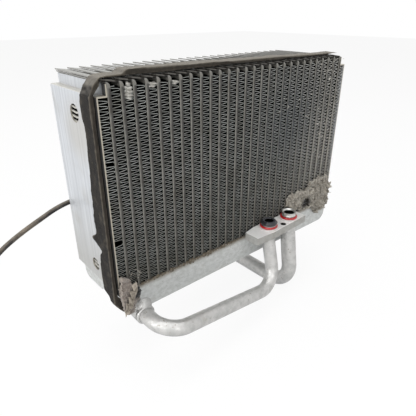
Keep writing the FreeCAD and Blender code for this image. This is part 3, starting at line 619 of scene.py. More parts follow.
def evaluated_mesh(source: Piece) -> Mesh:
    """Turns an object and its modifiers into a plain mesh, and removes the object.

    Args:
        source: the object.

    Returns:
        A new mesh of what it showed.
    """
    depsgraph = bpy.context.evaluated_depsgraph_get()
    mesh = bpy.data.meshes.new_from_object(source.evaluated_get(depsgraph), depsgraph=depsgraph)
    bpy.data.objects.remove(source)
    return mesh


def new_tree(name: str, output: str, inputs: Iterable[tuple[str, str]]) -> Tree:
    """Makes an empty Geometry Nodes tree with its sockets.

    Args:
        name: the tree's name.
        output: the name of the geometry that it gives.
        inputs: the name and the kind of each input.

    Returns:
        The tree.
    """
    tree = bpy.data.node_groups.new(name, "GeometryNodeTree")
    tree.interface.new_socket(output, in_out="OUTPUT", socket_type="NodeSocketGeometry")
    for label, kind in inputs:
        tree.interface.new_socket(label, in_out="INPUT", socket_type=f"NodeSocket{kind}")
    return tree


def run_nodes(tree: Tree, sizes: dict[str, Any], mesh: Mesh | None = None) -> Mesh:
    """Runs a Geometry Nodes tree once with its named inputs.

    Args:
        tree: the tree.
        sizes: the value of each input, by its name.
        mesh: the mesh that the tree works on, if it needs one.

    Returns:
        A plain mesh of what it makes.
    """
    host = add_object("node_host", mesh or bpy.data.meshes.new("node_host"))
    making = host.modifiers.new("making", "NODES")
    making.node_group = tree
    for item in tree.interface.items_tree:
        if item.in_out == "INPUT" and item.name in sizes:
            making[item.identifier] = sizes[item.name]
    return evaluated_mesh(host)


def thicken(mesh: Mesh, wall: float) -> Mesh:
    """Gives a sheet an even wall, half to each side.

    Args:
        mesh: the sheet.
        wall: its thickness in millimetres.

    Returns:
        The closed mesh.
    """
    draft = add_object("sheet_draft", mesh)
    solid = draft.modifiers.new("wall", "SOLIDIFY")
    solid.thickness = wall * MM
    solid.offset = 0.0
    return evaluated_mesh(draft)


@dataclass
class FinPack:
    """The corrugated fins: one folded strip in each space between two tubes. Sizes in mm.

    A strip is a flat grid, its height along x and its depth along y. It is hung lower at mid depth, repeated
    along the core, trimmed at the top and then folded by a wave, squarer to the left than to the right. The real
    stock is about 0.1 mm thick, too fine to show, so the sheet is drawn thicker. The folds in torn_out are missing,
    each from x to x and from z to z.
    """

    WAVES_PER_METRE: ClassVar[float] = 130.0
    WAVE_SEED: ClassVar[float] = 2.7
    WAVE_STRETCH: ClassVar[float] = 4.0
    SUMS: ClassVar[tuple[tuple[str, str, Any, Any], ...]] = (
        ("rows", "DIVIDE", "Height", "Period"),
        ("vertices", "MULTIPLY", "rows", "Steps"),
        ("half_height", "MULTIPLY", "Height", 0.5),
        ("up", "ADD", "x", "half_height"),
        ("folds", "DIVIDE", "up", "Period"),
        ("angle", "MULTIPLY", "folds", math.tau),
        ("sine", "SINE", "angle", 0.0),
        # The sheets hang lower at mid depth, which closes the straight view through, as louvres do
        ("half_depth", "MULTIPLY", "Depth", 0.5),
        ("back", "ADD", "y", "half_depth"),
        ("off_middle", "ABSOLUTE", "y", 0.0),
        ("off_share", "DIVIDE", "off_middle", "half_depth"),
        ("middle_share", "SUBTRACT", 1.0, "off_share"),
        ("hang", "MULTIPLY", "Sag", "middle_share"),
        ("hung", "SUBTRACT", "up", "hang"),
        ("level", "MAXIMUM", "hung", 0.0),
        # The outer columns end under the end plates' ledges, the others a little below the tubes' lips
        ("last", "SUBTRACT", "Columns", 1.0),
        ("is_first", "COMPARE", "index", 0.0),
        ("is_last", "COMPARE", "index", "last"),
        ("is_outer", "MAXIMUM", "is_first", "is_last"),
        ("least", "MULTIPLY", "is_outer", "Ledge Drop"),
        ("drop_here", "MAXIMUM", "least", "chance"),
        ("rise", "SUBTRACT", "z", "start_z"),
        ("limit", "SUBTRACT", "Height", "lower"),
        # The fold's wave, clamped to the column's width
        ("spread", "SUBTRACT", "Right Squareness", "Squareness"),
        ("column_share", "DIVIDE", "index", "last"),
        ("change", "MULTIPLY", "spread", "column_share"),
        ("square_here", "ADD", "Squareness", "change"),
        ("room", "SUBTRACT", "Width", "Sheet"),
        ("swing", "MULTIPLY", "room", 0.5),
        ("steep", "MULTIPLY", "phase", "square"),
        ("capped", "MINIMUM", "steep", 1.0),
        ("clamped", "MAXIMUM", "capped", -1.0),
        ("across", "MULTIPLY", "clamped", "swing"))

    columns: int = 29
    pitch: float = 11.5
    width: float = 8.3
    first_x: float = -216.5 + 5.75
    front_y: float = 19.6
    depth: float = 86.6
    foot_z: float = -6.7
    top_z: float = 183.0
    ledge_drop: float = 10.7
    period: float = 4.1
    sheet: float = 0.42
    steps: int = 11
    drop: float = 2.2
    waver: float = 0.2
    squareness: float = 1.9
    right_squareness: float = 1.02
    sag: float = 4.1
    seed: int = 11
    torn_out: Sequence[tuple[float, float, float, float]] = (
        (-215.0, -207.0, 41.8, 45.6), (-215.0, -207.0, 118.0, 119.6))

    def tree(self) -> Tree:
        """Builds the Geometry Nodes tree that folds a strip and repeats it along the core.

        Returns:
            The tree, with its sizes as named inputs.
        """
        tree = new_tree("folded_fin_columns", "Fins", (
            ("Columns", "Int"), ("Pitch", "Float"), ("Width", "Float"), ("Depth", "Float"), ("Height", "Float"),
            ("Period", "Float"), ("Sheet", "Float"), ("Steps", "Int"), ("Start", "Vector"), ("Drop", "Float"),
            ("Ledge Drop", "Float"), ("Waver", "Float"), ("Squareness", "Float"), ("Right Squareness", "Float"),
            ("Sag", "Float"), ("Seed", "Int"), ("Finish", "Material")))
        given = add_node(tree, "NodeGroupInput").outputs

        place = add_node(tree, "ShaderNodeSeparateXYZ", {
            0: add_node(tree, "GeometryNodeInputPosition").outputs[0]}).outputs
        known: dict[str, Any] = {item.name: item for item in given if item.name}
        known.update(x=place[0], y=place[1], z=place[2])
        known["index"] = add_node(tree, "GeometryNodeInputIndex").outputs[0]
        known["start_z"] = add_node(tree, "ShaderNodeSeparateXYZ", {0: given["Start"]}).outputs[2]
        known["chance"] = add_node(tree, "FunctionNodeRandomValue", {
            3: given["Drop"], "Seed": given["Seed"]}).outputs[1]
        for name in ("lower", "phase", "square"):
            known[name] = add_node(tree, "GeometryNodeInputNamedAttribute", {
                "Name": name}, data_type="FLOAT").outputs[0]
        for name, kind, first, second in self.SUMS:
            terms = {0: known.get(first, first), 1: known.get(second, second)}
            known[name] = add_node(tree, "ShaderNodeMath", terms, operation=kind).outputs[0]
        grid = add_node(tree, "GeometryNodeMeshGrid", {
            "Size X": given["Height"], "Size Y": given["Depth"], "Vertices X": known["vertices"], "Vertices Y": 3})
        phased = add_node(tree, "GeometryNodeStoreNamedAttribute", {
            "Geometry": grid.outputs["Mesh"], "Name": "phase", "Value": known["sine"]},
            data_type="FLOAT", domain="POINT")
        flat = add_node(tree, "GeometryNodeSetPosition", {
            "Geometry": phased.outputs[0],
            "Position": add_node(tree, "ShaderNodeCombineXYZ", {1: known["back"], 2: known["level"]}).outputs[0]})
        places = add_node(tree, "GeometryNodeMeshLine", {
            "Count": given["Columns"], "Start Location": given["Start"],
            "Offset": add_node(tree, "ShaderNodeCombineXYZ", {0: given["Pitch"]}).outputs[0]})
        row = add_node(tree, "GeometryNodeInstanceOnPoints", {
            "Points": places.outputs[0], "Instance": flat.outputs[0]})
        for name, value in (("lower", known["drop_here"]), ("square", known["square_here"])):
            row = add_node(tree, "GeometryNodeStoreNamedAttribute", {
                "Geometry": row.outputs[0], "Name": name, "Value": value}, data_type="FLOAT", domain="INSTANCE")
        real = add_node(tree, "GeometryNodeRealizeInstances", {0: row.outputs[0]})
        over = add_node(tree, "FunctionNodeCompare", {0: known["rise"], 1: known["limit"]},
                        data_type="FLOAT", operation="GREATER_THAN")
        trimmed = add_node(tree, "GeometryNodeDeleteGeometry", {0: real.outputs[0], "Selection": over.outputs[0]})
        folded = add_node(tree, "GeometryNodeSetPosition", {
            "Geometry": trimmed.outputs[0],
            "Offset": add_node(tree, "ShaderNodeCombineXYZ", {0: known["across"]}).outputs[0]})
        cloud = add_node(tree, "ShaderNodeTexNoise", {
            "Scale": self.WAVES_PER_METRE, "Detail": 2.0, "W": self.WAVE_SEED,
            "Vector": add_node(tree, "GeometryNodeInputPosition").outputs[0]}, noise_dimensions="4D")
        centred = add_node(tree, "ShaderNodeVectorMath", {0: cloud.outputs["Color"], 1: (0.5, 0.5, 0.5)},
                           operation="SUBTRACT").outputs[0]
        upright = add_node(tree, "ShaderNodeVectorMath", {
            0: centred, 1: (0.0, 0.0, self.WAVE_STRETCH)}, operation="MULTIPLY").outputs[0]
        shift = add_node(tree, "ShaderNodeVectorMath", {
            0: upright, "Scale": given["Waver"]}, operation="SCALE").outputs[0]
        bent = add_node(tree, "GeometryNodeSetPosition", {"Geometry": folded.outputs[0], "Offset": shift})
        skin = add_node(tree, "GeometryNodeSetMaterial", {"Geometry": bent.outputs[0], "Material": given["Finish"]})
        add_node(tree, "NodeGroupOutput", {0: skin.outputs[0]})
        return tree

    def build(self) -> None:
        """Builds all columns as one piece, less the folds that are torn out of the first one."""
        sheets = run_nodes(self.tree(), {
            "Columns": self.columns, "Pitch": self.pitch * MM, "Width": self.width * MM, "Depth": self.depth * MM,
            "Height": (self.top_z - self.foot_z) * MM, "Period": self.period * MM, "Sheet": self.sheet * MM,
            "Steps": self.steps, "Start": [self.first_x * MM, self.front_y * MM, self.foot_z * MM],
            "Drop": self.drop * MM, "Ledge Drop": self.ledge_drop * MM, "Waver": self.waver * MM,
            "Squareness": self.squareness, "Right Squareness": self.right_squareness,
            "Sag": self.sag * MM, "Seed": self.seed, "Finish": ROLLED_FIN.build()})
        shell = bmesh.new()
        shell.from_mesh(sheets)
        torn = [f for f in shell.faces if any(
            x0 * MM < f.calc_center_median().x < x1 * MM and z0 * MM < f.calc_center_median().z < z1 * MM
            for x0, x1, z0, z1 in self.torn_out)]
        bmesh.ops.delete(shell, geom=torn, context="FACES")
        whole = mesh_of("fin_sheets", shell)
        fins = new_object("corrugated_fins", thicken(whole, self.sheet), ROLLED_FIN, smooth=False)
        banks = [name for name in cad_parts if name.startswith("fin_bank_")]
        seat(fins, banks)


@dataclass
class Core:
    """The core's rigid pieces: tubes, end plates, header and tanks."""

    tube_prefix: str = "tube_"
    fins: FinPack = field(default_factory=FinPack)

    def build(self) -> None:
        """Dresses the nodes and builds the fins."""
        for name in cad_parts:
            if name.startswith(self.tube_prefix):
                dress(name, BRAZED_TUBE)
        for name in ("left_end_plate", "right_end_plate"):
            dress(name, ROLLED_PLATE)
        for name in ("header_plate", "front_tank", "rear_tank"):
            dress(name, BRAZED_TANK)
        self.fins.build()


def join_rings(shell: bmesh.types.BMesh, rings: Sequence[Sequence[bmesh.types.BMVert]], loop: bool = False) -> None:
    """Joins rings of vertices by faces, and closes both ends unless the rings form a loop.

    Args:
        shell: the bmesh that they are in.
        rings: the rings in order, all of one size.
        loop: whether the last ring joins the first.
    """
    count = len(rings[0])
    for first, second in zip(rings, [*rings[1:], rings[0]] if loop else rings[1:]):
        for side in range(count):
            beyond = (side + 1) % count
            shell.faces.new((first[side], second[side], second[beyond], first[beyond]))
    if not loop:
        shell.faces.new(rings[0][::-1])
        shell.faces.new(rings[-1])


def torus(name: str, centre: Point, across: Point, up: Point, major: float, minor: float,
          steps: int = 64, sides: int = 16) -> Mesh:
    """Makes a ring of round section.

    Args:
        name: the mesh's name.
        centre: the ring's centre, in metres.
        across: a unit vector in the ring's plane.
        up: the unit vector in that plane at a right angle to it.
        major: the radius of the ring's centre line, in metres.
        minor: the radius of its section, in metres.
        steps: how many sections it has.
        sides: how many sides each section has.

    Returns:
        The closed mesh.
    """
    along, beside = Vector(across), Vector(up)
    normal = along.cross(beside)
    shell = bmesh.new()
    rings = []
    for step in range(steps):
        turn = math.tau * step / steps
        outward = along * math.cos(turn) + beside * math.sin(turn)
        ring = []
        for side in range(sides):
            lean = math.tau * side / sides
            spot = Vector(centre) + outward * (major + minor * math.cos(lean)) + normal * minor * math.sin(lean)
            ring.append(shell.verts.new(spot))
        rings.append(ring)
    join_rings(shell, rings, loop=True)
    bmesh.ops.recalc_face_normals(shell, faces=shell.faces)
    return mesh_of(name, shell)


@dataclass
class Seal:
    """A ring seal of round section on its spigot."""

    node: str

    def build(self) -> None:
        """Builds the ring to the size of its CAD node."""
        low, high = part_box(self.node)
        middle = tuple((a + b) / 2 for a, b in zip(low, high))
        minor = (high[2] - low[2]) / 2
        major = (high[0] - low[0]) / 2 - minor
        mesh = torus(self.node, middle, (1, 0, 0), (0, 1, 0), major, minor)
        seat(new_object(f"round_{self.node}", mesh, OILED_SEAL), [self.node])


@dataclass
class PipeBead:
    """The rolled bead on the liquid pipe, in front of its socket. Sizes in mm."""

    centre: Point = (-193.0, 13.3, -41.4)
    radius: float = 8.7
    section: float = 3.4

    def build(self) -> None:
        """Builds the bead round the pipe."""
        centre = tuple(c * MM for c in self.centre)
        mesh = torus("pipe_bead", centre, (1, 0, 0), (0, 0, 1), self.radius * MM, self.section / 2 * MM)
        seat(new_object("rolled_pipe_bead", mesh, DRAWN_PIPE))


@dataclass
class Ports:
    """The connection block with its spigots, seals and sleeve, and the pipes below it."""

    def build(self) -> None:
        """Dresses the nodes and builds the seals."""
        dress("connection_block", SAWN_BLOCK)
        for name in ("left_spigot", "right_spigot"):
            dress(name, TURNED_SPIGOT)
        dress("spigot_sleeve", MOULDED_SLEEVE)
        for name in ("liquid_pipe", "suction_pipe", "liquid_socket", "outlet_socket"):
            dress(name, DRAWN_PIPE)
        for name in ("left_seal", "right_seal"):
            Seal(name).build()
        PipeBead().build()


@dataclass
class SoftPiece:
    """A foam piece, grown from its plain CAD solid: finely meshed, then rumpled. Sizes in mm.

    The swell is broad, the ripple small and the crease a sharp fold between two swells. The piece stays inside its
    solid's box and the room round it, and never grows towards the core. A pinch is a point, its reach and the way
    it pulls the foam there.
    """

    MERGE_MM: ClassVar[float] = 0.01
    SOFTENING: ClassVar[tuple[float, int]] = (0.5, 4)
    RIPPLE_SHIFT: ClassVar[Vector] = Vector((9.1, 3.3, 5.2))
    CREASE_SHIFT: ClassVar[Vector] = Vector((4.7, 8.1, 1.3))
    CREASE_SHARE: ClassVar[float] = 0.6

    node: str
    name: str
    finish: Finish
    voxel: float
    swell: float
    swell_mm: float
    ripple: float
    ripple_mm: float
    shrink: float
    fill: float
    room: float = 0.0
    crease: float = 0.0
    pinches: Sequence[tuple[Point, float, Point]] = ()

    def build(self) -> Piece:
        """Builds the piece.

        Returns:
            The foam piece.
        """
        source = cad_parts[self.node]
        shell = bmesh.new()
        shell.from_mesh(source.data)
        bmesh.ops.remove_doubles(shell, verts=shell.verts, dist=self.MERGE_MM * MM)
        draft = add_object("foam_draft", mesh_of(self.name, shell))
        remesh = draft.modifiers.new("even", "REMESH")
        remesh.mode = "VOXEL"
        remesh.voxel_size = self.voxel * MM
        soften = draft.modifiers.new("soften", "SMOOTH")
        soften.factor, soften.iterations = self.SOFTENING
        fine = evaluated_mesh(draft)
        low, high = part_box(self.node)
        spare = self.room * MM
        low = [low[0] - spare, low[1] - spare, low[2] - spare]
        high = [high[0] + spare, high[1], high[2] + spare]
        normals = [v.normal.copy() for v in fine.vertices]
        for vertex, normal in zip(fine.vertices, normals):
            broad = noise.noise(vertex.co / (self.swell_mm * MM))
            small = noise.noise(vertex.co / (self.ripple_mm * MM) + self.RIPPLE_SHIFT)
            between = noise.noise(vertex.co / (self.swell_mm * MM * self.CREASE_SHARE) + self.CREASE_SHIFT)
            fold = 1 - 2 * abs(between)
            move = (broad * self.swell + small * self.ripple + fold * self.crease - self.shrink) * MM
            moved = vertex.co + normal * move
            for centre, reach, pull in self.pinches:
                near = max(0.0, 1 - (vertex.co - Vector(centre) * MM).length / (reach * MM))
                moved += Vector(pull) * MM * near * near * (3 - 2 * near)
            vertex.co = Vector([min(max(m, a), b) for m, a, b in zip(moved, low, high)])
        piece = new_object(self.name, fine, self.finish)
        seat(piece, [self.node])
        return piece


@dataclass
class Lint:
    """Loose shreds that cling to the core: short curled strips, scattered in given spots. Sizes in mm."""

    SIZE_SHARE: ClassVar[tuple[float, float]] = (0.4, 1.0)
    HEADING_SPREAD: ClassVar[Point] = (1.0, 0.3, 1.0)
    CURL_SPREAD: ClassVar[Point] = (0.5, 0.35, 0.5)
    THICKNESS: ClassVar[float] = 0.4

    name: str
    finish: Finish
    spots: Sequence[tuple[float, float, float, float, int]]
    front_y: float
    deep: float
    longest: float
    widest: float
    seed: int
    bends: int = 5

    def build(self) -> None:
        """Builds the shreds as one piece."""
        chance = random.Random(self.seed)
        shell = bmesh.new()
        for x0, z0, x1, z1, count in self.spots:
            for _ in range(count):
                spot = Vector((
                    chance.uniform(x0, x1), self.front_y - chance.uniform(0, self.deep), chance.uniform(z0, z1)))
                heading = Vector([chance.gauss(0, spread) for spread in self.HEADING_SPREAD]).normalized()
                run = chance.uniform(*self.SIZE_SHARE) * self.longest / self.bends
                half = chance.uniform(*self.SIZE_SHARE) * self.widest / 2
                rows = []
                for bend in range(self.bends + 1):
                    taper = half * (1 - bend / (self.bends + 1))
                    side = heading.cross(Vector((0, -1, 0.3))).normalized() * taper
                    thick = Vector((0, -self.THICKNESS * taper, 0))
                    rows.append([shell.verts.new((spot + part) * MM) for part in (side, thick, -side, -thick)])
                    curl = Vector([chance.gauss(0, spread) for spread in self.CURL_SPREAD])
                    heading = (heading + curl).normalized()
                    spot = spot + heading * run
                    spot.y = min(spot.y, self.front_y)
                join_rings(shell, rows)
        bmesh.ops.recalc_face_normals(shell, faces=shell.faces)
        piece = new_object(self.name, mesh_of(self.name, shell), self.finish)
        seat(piece)


# Where lint clings to the core's front: from x and z to x and z in millimetres, and how many shreds
BRIGHT_SPOTS = ((70, 60, 112, 165, 60), (20, -2, 60, 20, 30), (-8, 120, 60, 160, 14), (60, 165, 112, 184, 20))
DULL_SPOTS = (
    (30, 8, 64, 26, 90), (60, 4, 112, 40, 70), (40, -3, 110, 6, 40), (85, -18, 112, 0, 20), (95, 20, 115, 56, 60),
    (-192, -9, -60, -5, 90), (-212, -4, -192, 14, 30), (60, 100, 112, 165, 40))


@dataclass
class Shreds:
    """Torn strips that stand off a soft piece's surface, scattered by Geometry Nodes. Sizes in mm."""

    MOST_TURN: ClassVar[Point] = (1.2, 1.2, math.pi)
    LEAST_GROWTH: ClassVar[Point] = (0.4, 0.4, 1.0)
    MOST_GROWTH: ClassVar[Point] = (1.3, 1.4, 1.0)
    GROWTH_SEED: ClassVar[int] = 5

    source: Piece
    name: str
    finish: Finish
    density: float
    long: float
    wide: float
    crumple: float
    crumple_mm: float = 3.0
    sheet: float = 0.25
    front_y: float = 18.2
    right_x: float = 116.5
    seed: int = 3

    def tree(self) -> Tree:
        """Builds the tree that scatters strips over a surface and crumples them.

        Returns:
            The tree, with its sizes as named inputs.
        """
        tree = new_tree("scattered_shreds", "Shreds", (
            ("Surface", "Geometry"), ("Density", "Float"), ("Long", "Float"), ("Wide", "Float"), ("Crumple", "Float"),
            ("Crumple Scale", "Float"), ("Seed", "Int"), ("Finish", "Material")))
        given = add_node(tree, "NodeGroupInput").outputs
        points = add_node(tree, "GeometryNodeDistributePointsOnFaces", {
            "Mesh": given["Surface"], "Density": given["Density"], "Seed": given["Seed"]})
        strip = add_node(tree, "GeometryNodeMeshGrid", {
            "Size X": given["Long"], "Size Y": given["Wide"], "Vertices X": 6, "Vertices Y": 3})
        turn = add_node(tree, "FunctionNodeRandomValue", {
            0: [-most for most in self.MOST_TURN], 1: self.MOST_TURN, "Seed": given["Seed"]},
            data_type="FLOAT_VECTOR")
        turned = add_node(tree, "FunctionNodeRotateRotation", {
            0: points.outputs["Rotation"],
            1: add_node(tree, "FunctionNodeEulerToRotation", {0: turn.outputs[0]}).outputs[0]}, rotation_space="LOCAL")
        grow = add_node(tree, "FunctionNodeRandomValue", {
            0: self.LEAST_GROWTH, 1: self.MOST_GROWTH, "Seed": self.GROWTH_SEED}, data_type="FLOAT_VECTOR")
        strips = add_node(tree, "GeometryNodeInstanceOnPoints", {
            "Points": points.outputs["Points"], "Instance": strip.outputs["Mesh"],
            "Rotation": turned.outputs[0], "Scale": grow.outputs[0]})
        real = add_node(tree, "GeometryNodeRealizeInstances", {0: strips.outputs[0]})
        cloud = add_node(tree, "ShaderNodeTexNoise", {
            "Scale": given["Crumple Scale"], "Detail": 1.0,
            "Vector": add_node(tree, "GeometryNodeInputPosition").outputs[0]})
        centred = add_node(tree, "ShaderNodeVectorMath", {0: cloud.outputs["Color"], 1: (0.5, 0.5, 0.5)},
                           operation="SUBTRACT").outputs[0]
        shift = add_node(tree, "ShaderNodeVectorMath", {
            0: centred, "Scale": given["Crumple"]}, operation="SCALE").outputs[0]
        bent = add_node(tree, "GeometryNodeSetPosition", {"Geometry": real.outputs[0], "Offset": shift})
        skin = add_node(tree, "GeometryNodeSetMaterial", {"Geometry": bent.outputs[0], "Material": given["Finish"]})
        add_node(tree, "NodeGroupOutput", {0: skin.outputs[0]})
        return tree

    def build(self) -> None:
        """Builds the shreds, kept in front of the core."""
        sheets = run_nodes(self.tree(), {
            "Density": self.density / MM / MM, "Long": self.long * MM, "Wide": self.wide * MM,
            "Crumple": self.crumple * MM, "Crumple Scale": 1 / (self.crumple_mm * MM), "Seed": self.seed,
            "Finish": self.finish.build()}, self.source.data.copy())
        for vertex in sheets.vertices:
            vertex.co.y = min(vertex.co.y, self.front_y * MM)
            vertex.co.x = min(vertex.co.x, self.right_x * MM)
        piece = new_object(self.name, thicken(sheets, self.sheet), self.finish)
        seat(piece)


@dataclass
class CreasedRibbon:
    """A strip of film backed foam folded on itself like a paper fan. Sizes in mm."""

    WIDTH_SHARE: ClassVar[tuple[float, float]] = (0.7, 1.15)
    SWING_SHARE: ClassVar[tuple[float, float]] = (0.6, 1.0)
    CREASES: ClassVar[tuple[float, ...]] = (-1.0, -0.35, 0.35, 1.0)
    LEAN: ClassVar[float] = 0.35
    UNEVEN: ClassVar[float] = 0.5

    path: Sequence[Point]
    wide: float
    swing: float
    folds: int
    sheet: float = 0.5
    front_y: float = 18.0
    seed: int = 8

    def build(self) -> None:
        """Builds the ribbon along its path, from fold to fold."""
        chance = random.Random(self.seed)
        shell = bmesh.new()
        spots = [Vector(p) for p in self.path]
        rows = []
        for fold in range(self.folds + 1):
            share = fold / self.folds * (len(spots) - 1)
            first = min(int(share), len(spots) - 2)
            middle = spots[first].lerp(spots[first + 1], share - first)
            out = Vector((0, -self.swing if fold % 2 else 0, 0))
            half = self.wide / 2 * chance.uniform(*self.WIDTH_SHARE)
            lean = chance.uniform(-self.UNEVEN, self.UNEVEN) + (self.LEAN if fold % 2 else -self.LEAN)
            side = Vector((math.cos(lean), 0.25 * math.sin(3 * lean), math.sin(lean)))
            row = []
            for crease in self.CREASES:
                rough = Vector([chance.uniform(-self.UNEVEN, self.UNEVEN) for _ in range(3)])
                spot = middle + out * chance.uniform(*self.SWING_SHARE) + side * half * crease + rough
                spot.y = min(spot.y, self.front_y)
                row.append(shell.verts.new(spot * MM))
            rows.append(row)
        for above, below in zip(rows, rows[1:]):
            for step in range(len(self.CREASES) - 1):
                shell.faces.new((above[step], above[step + 1], below[step + 1], below[step]))
        folded = thicken(mesh_of("ribbon", shell), self.sheet)
        seat(new_object("creased_foam_ribbon", folded, CREASED_FILM, smooth=False))


@dataclass
class Foam:
    """The foam round and on the core: the gasket, the torn scrap, the crumpled fold and the ribbon below it."""

    gasket_pinches: Sequence[tuple[Point, float, Point]] = (
        ((-221, 44, 44), 6, (-2.2, 2.6, 1)), ((-221, 40, 34), 9, (1.0, -2.5, 0)), ((-221, 27, 45), 7, (-1.5, 0, 0)))
    ribbon_path: Sequence[Point] = (
        (-201.5, 14.5, 0.5), (-204.5, 12.5, -7.0), (-208.0, 12.5, -15.0), (-211.0, 13.0, -21.5),
        (-213.5, 14.0, -28.5))

    def build(self) -> None:
        """Builds the foam pieces, each with the shreds that stand off it."""
        SoftPiece("foam_gasket", "rumpled_foam_gasket", SKINNED_FOAM, voxel=1.2, swell=0.9, swell_mm=22,
                  ripple=0.3, ripple_mm=4, shrink=0.2, fill=0.8, room=4.0, pinches=self.gasket_pinches).build()
        scrap = SoftPiece("foam_scrap", "torn_foam_scrap", TORN_FOAM, voxel=0.7, swell=2.6, swell_mm=9,
                          ripple=1.0, ripple_mm=2.4, shrink=1.2, fill=0.4, room=3, crease=1.6).build()
        Shreds(scrap, "torn_foam_shreds", TORN_SHRED, density=0.05, long=7.0, wide=2.6, crumple=4.5,
               crumple_mm=5).build()
        fold = SoftPiece("foam_fold", "crumpled_foam_fold", MATTED_LINT, voxel=0.7, swell=1.4, swell_mm=7,
                         ripple=0.7, ripple_mm=2.4, shrink=0.5, fill=0.4, room=3, crease=0.6).build()
        Shreds(fold, "matted_lint_shreds", MATTED_LINT, density=0.05, long=3.0, wide=0.9, crumple=2.0,
               seed=6).build()
        CreasedRibbon(self.ribbon_path, wide=7.5, swing=4.0, folds=9).build()


@dataclass
class BunchedFins:
    """Fin loops that a tool has pushed into lumps at the top of some columns. Sizes in mm.

    A lump is its x and z, then half its width, depth and height.
    """

    lumps: Sequence[tuple[float, float, float, float, float]] = (
        (-187.2, 175.6, 4.1, 2.6, 6.4), (-164.2, 179.6, 4.0, 1.8, 2.4), (-141.2, 179.0, 3.4, 1.6, 1.8))
    front_y: float = 18.8
    ridge_mm: float = 2.7
    ridge_share: float = 0.24
    rough_share: float = 0.25

    def build(self) -> None:
        """Builds the lumps as one piece."""
        shell = bmesh.new()
        for x, z, half_wide, half_deep, half_high in self.lumps:
            made = bmesh.ops.create_icosphere(shell, subdivisions=4, radius=1.0)
            for vertex in made["verts"]:
                unit = vertex.co.copy()
                ridge = self.ridge_share * math.sin(math.tau * unit.z * half_high / self.ridge_mm + 1.5 * unit.x)
                rough = self.rough_share * noise.noise(unit * 1.9 + Vector((x, z, 0)))
                unit *= 1 + ridge + rough
                deep = self.front_y + half_deep + unit.y * half_deep
                vertex.co = Vector((x + unit.x * half_wide, deep, z + unit.z * half_high)) * MM
        lumps = new_object("bunched_fin_loops", mesh_of("bunched", shell), CRUSHED_FIN)
        seat(lumps)


@dataclass
class DustRidge:
    """The uneven line of dust along the foot of the fins, on the front tank. Sizes in mm."""

    name: str
    start: float
    end: float
    middle_y: float = 17.9
    middle_z: float = -6.8
    high: float = 3.6
    deep: float = 1.5
    step: float = 0.7
    sides: int = 8
    broad_mm: float = 9.0
    fine_mm: float = 2.1
    grit_mm: float = 0.9
    least: float = 0.12

    def build(self) -> None:
        """Builds the ridge."""
        shell = bmesh.new()
        rings = []
        count = int((self.end - self.start) / self.step)
        for index in range(count + 1):
            x = self.start + index * self.step
            broad = noise.noise(Vector((x / self.broad_mm, 1.7, 0)))
            fine = noise.noise(Vector((x / self.fine_mm, 5.1, 0)))
            swell = 0.4 + 0.8 * broad + 0.8 * fine
            swell = max(swell, self.least) * min(1.0, (count - index + 1) / 4, (index + 1) / 4)
            ring = []
            for side in range(self.sides):
                turn = math.tau * side / self.sides
                rough = 1 + 0.5 * noise.noise(Vector((x / self.grit_mm, side * 1.9, 3)))
                spot = (x, self.middle_y + math.cos(turn) * self.deep * swell * rough,
                        self.middle_z + math.sin(turn) * self.high * swell * rough)
                ring.append(shell.verts.new(Vector(spot) * MM))
            rings.append(ring)
        join_rings(shell, rings)
        bmesh.ops.recalc_face_normals(shell, faces=shell.faces)
        ridge = new_object(self.name, mesh_of(self.name, shell), PACKED_DUST)
        seat(ridge)


@dataclass
class SensorLead:
    """The temperature sensor: holder, lead and connector. Points and sizes in mm."""

    diameter: float = 5.0
    length: float = 187.0
    points: Sequence[Point] = (
        (-172.0, 112.8, 57.5), (-193.0, 112.8, 57.5), (-215.0, 114.4, 54.6), (-229.5, 115.7, 50.7),
        (-244.0, 115.0, 45.2), (-259.0, 114.6, 39.4), (-274.0, 114.8, 32.3), (-288.0, 115.5, 23.9),
        (-300.0, 116.5, 12.9), (-308.0, 117.3, -1.0), (-311.5, 117.8, -17.0), (-312.3, 117.9, -32.9))

    def build(self) -> None:
        """Builds the lead and dresses the pieces at its ends."""
        dress("sensor_holder", MOULDED_PLASTIC)
        dress("sensor_connector", MOULDED_PLASTIC)
        line = bpy.data.curves.new("sensor_lead", "CURVE")
        line.dimensions = "3D"
        spline = line.splines.new("NURBS")
        spline.points.add(len(self.points) - 1)
        for point, place in zip(spline.points, self.points):
            point.co = (*(c * MM for c in place), 1.0)
        spline.order_u = 3
        spline.use_endpoint_u = True
        line.resolution_u = 12
        line.bevel_depth = self.diameter / 2 * MM
        line.bevel_resolution = 6
        line.use_fill_caps = True
        line.materials.append(DUSTY_SHEATH.build())
        lead = add_object("sensor_lead", line)
        seat(lead, ["sensor_cable"])


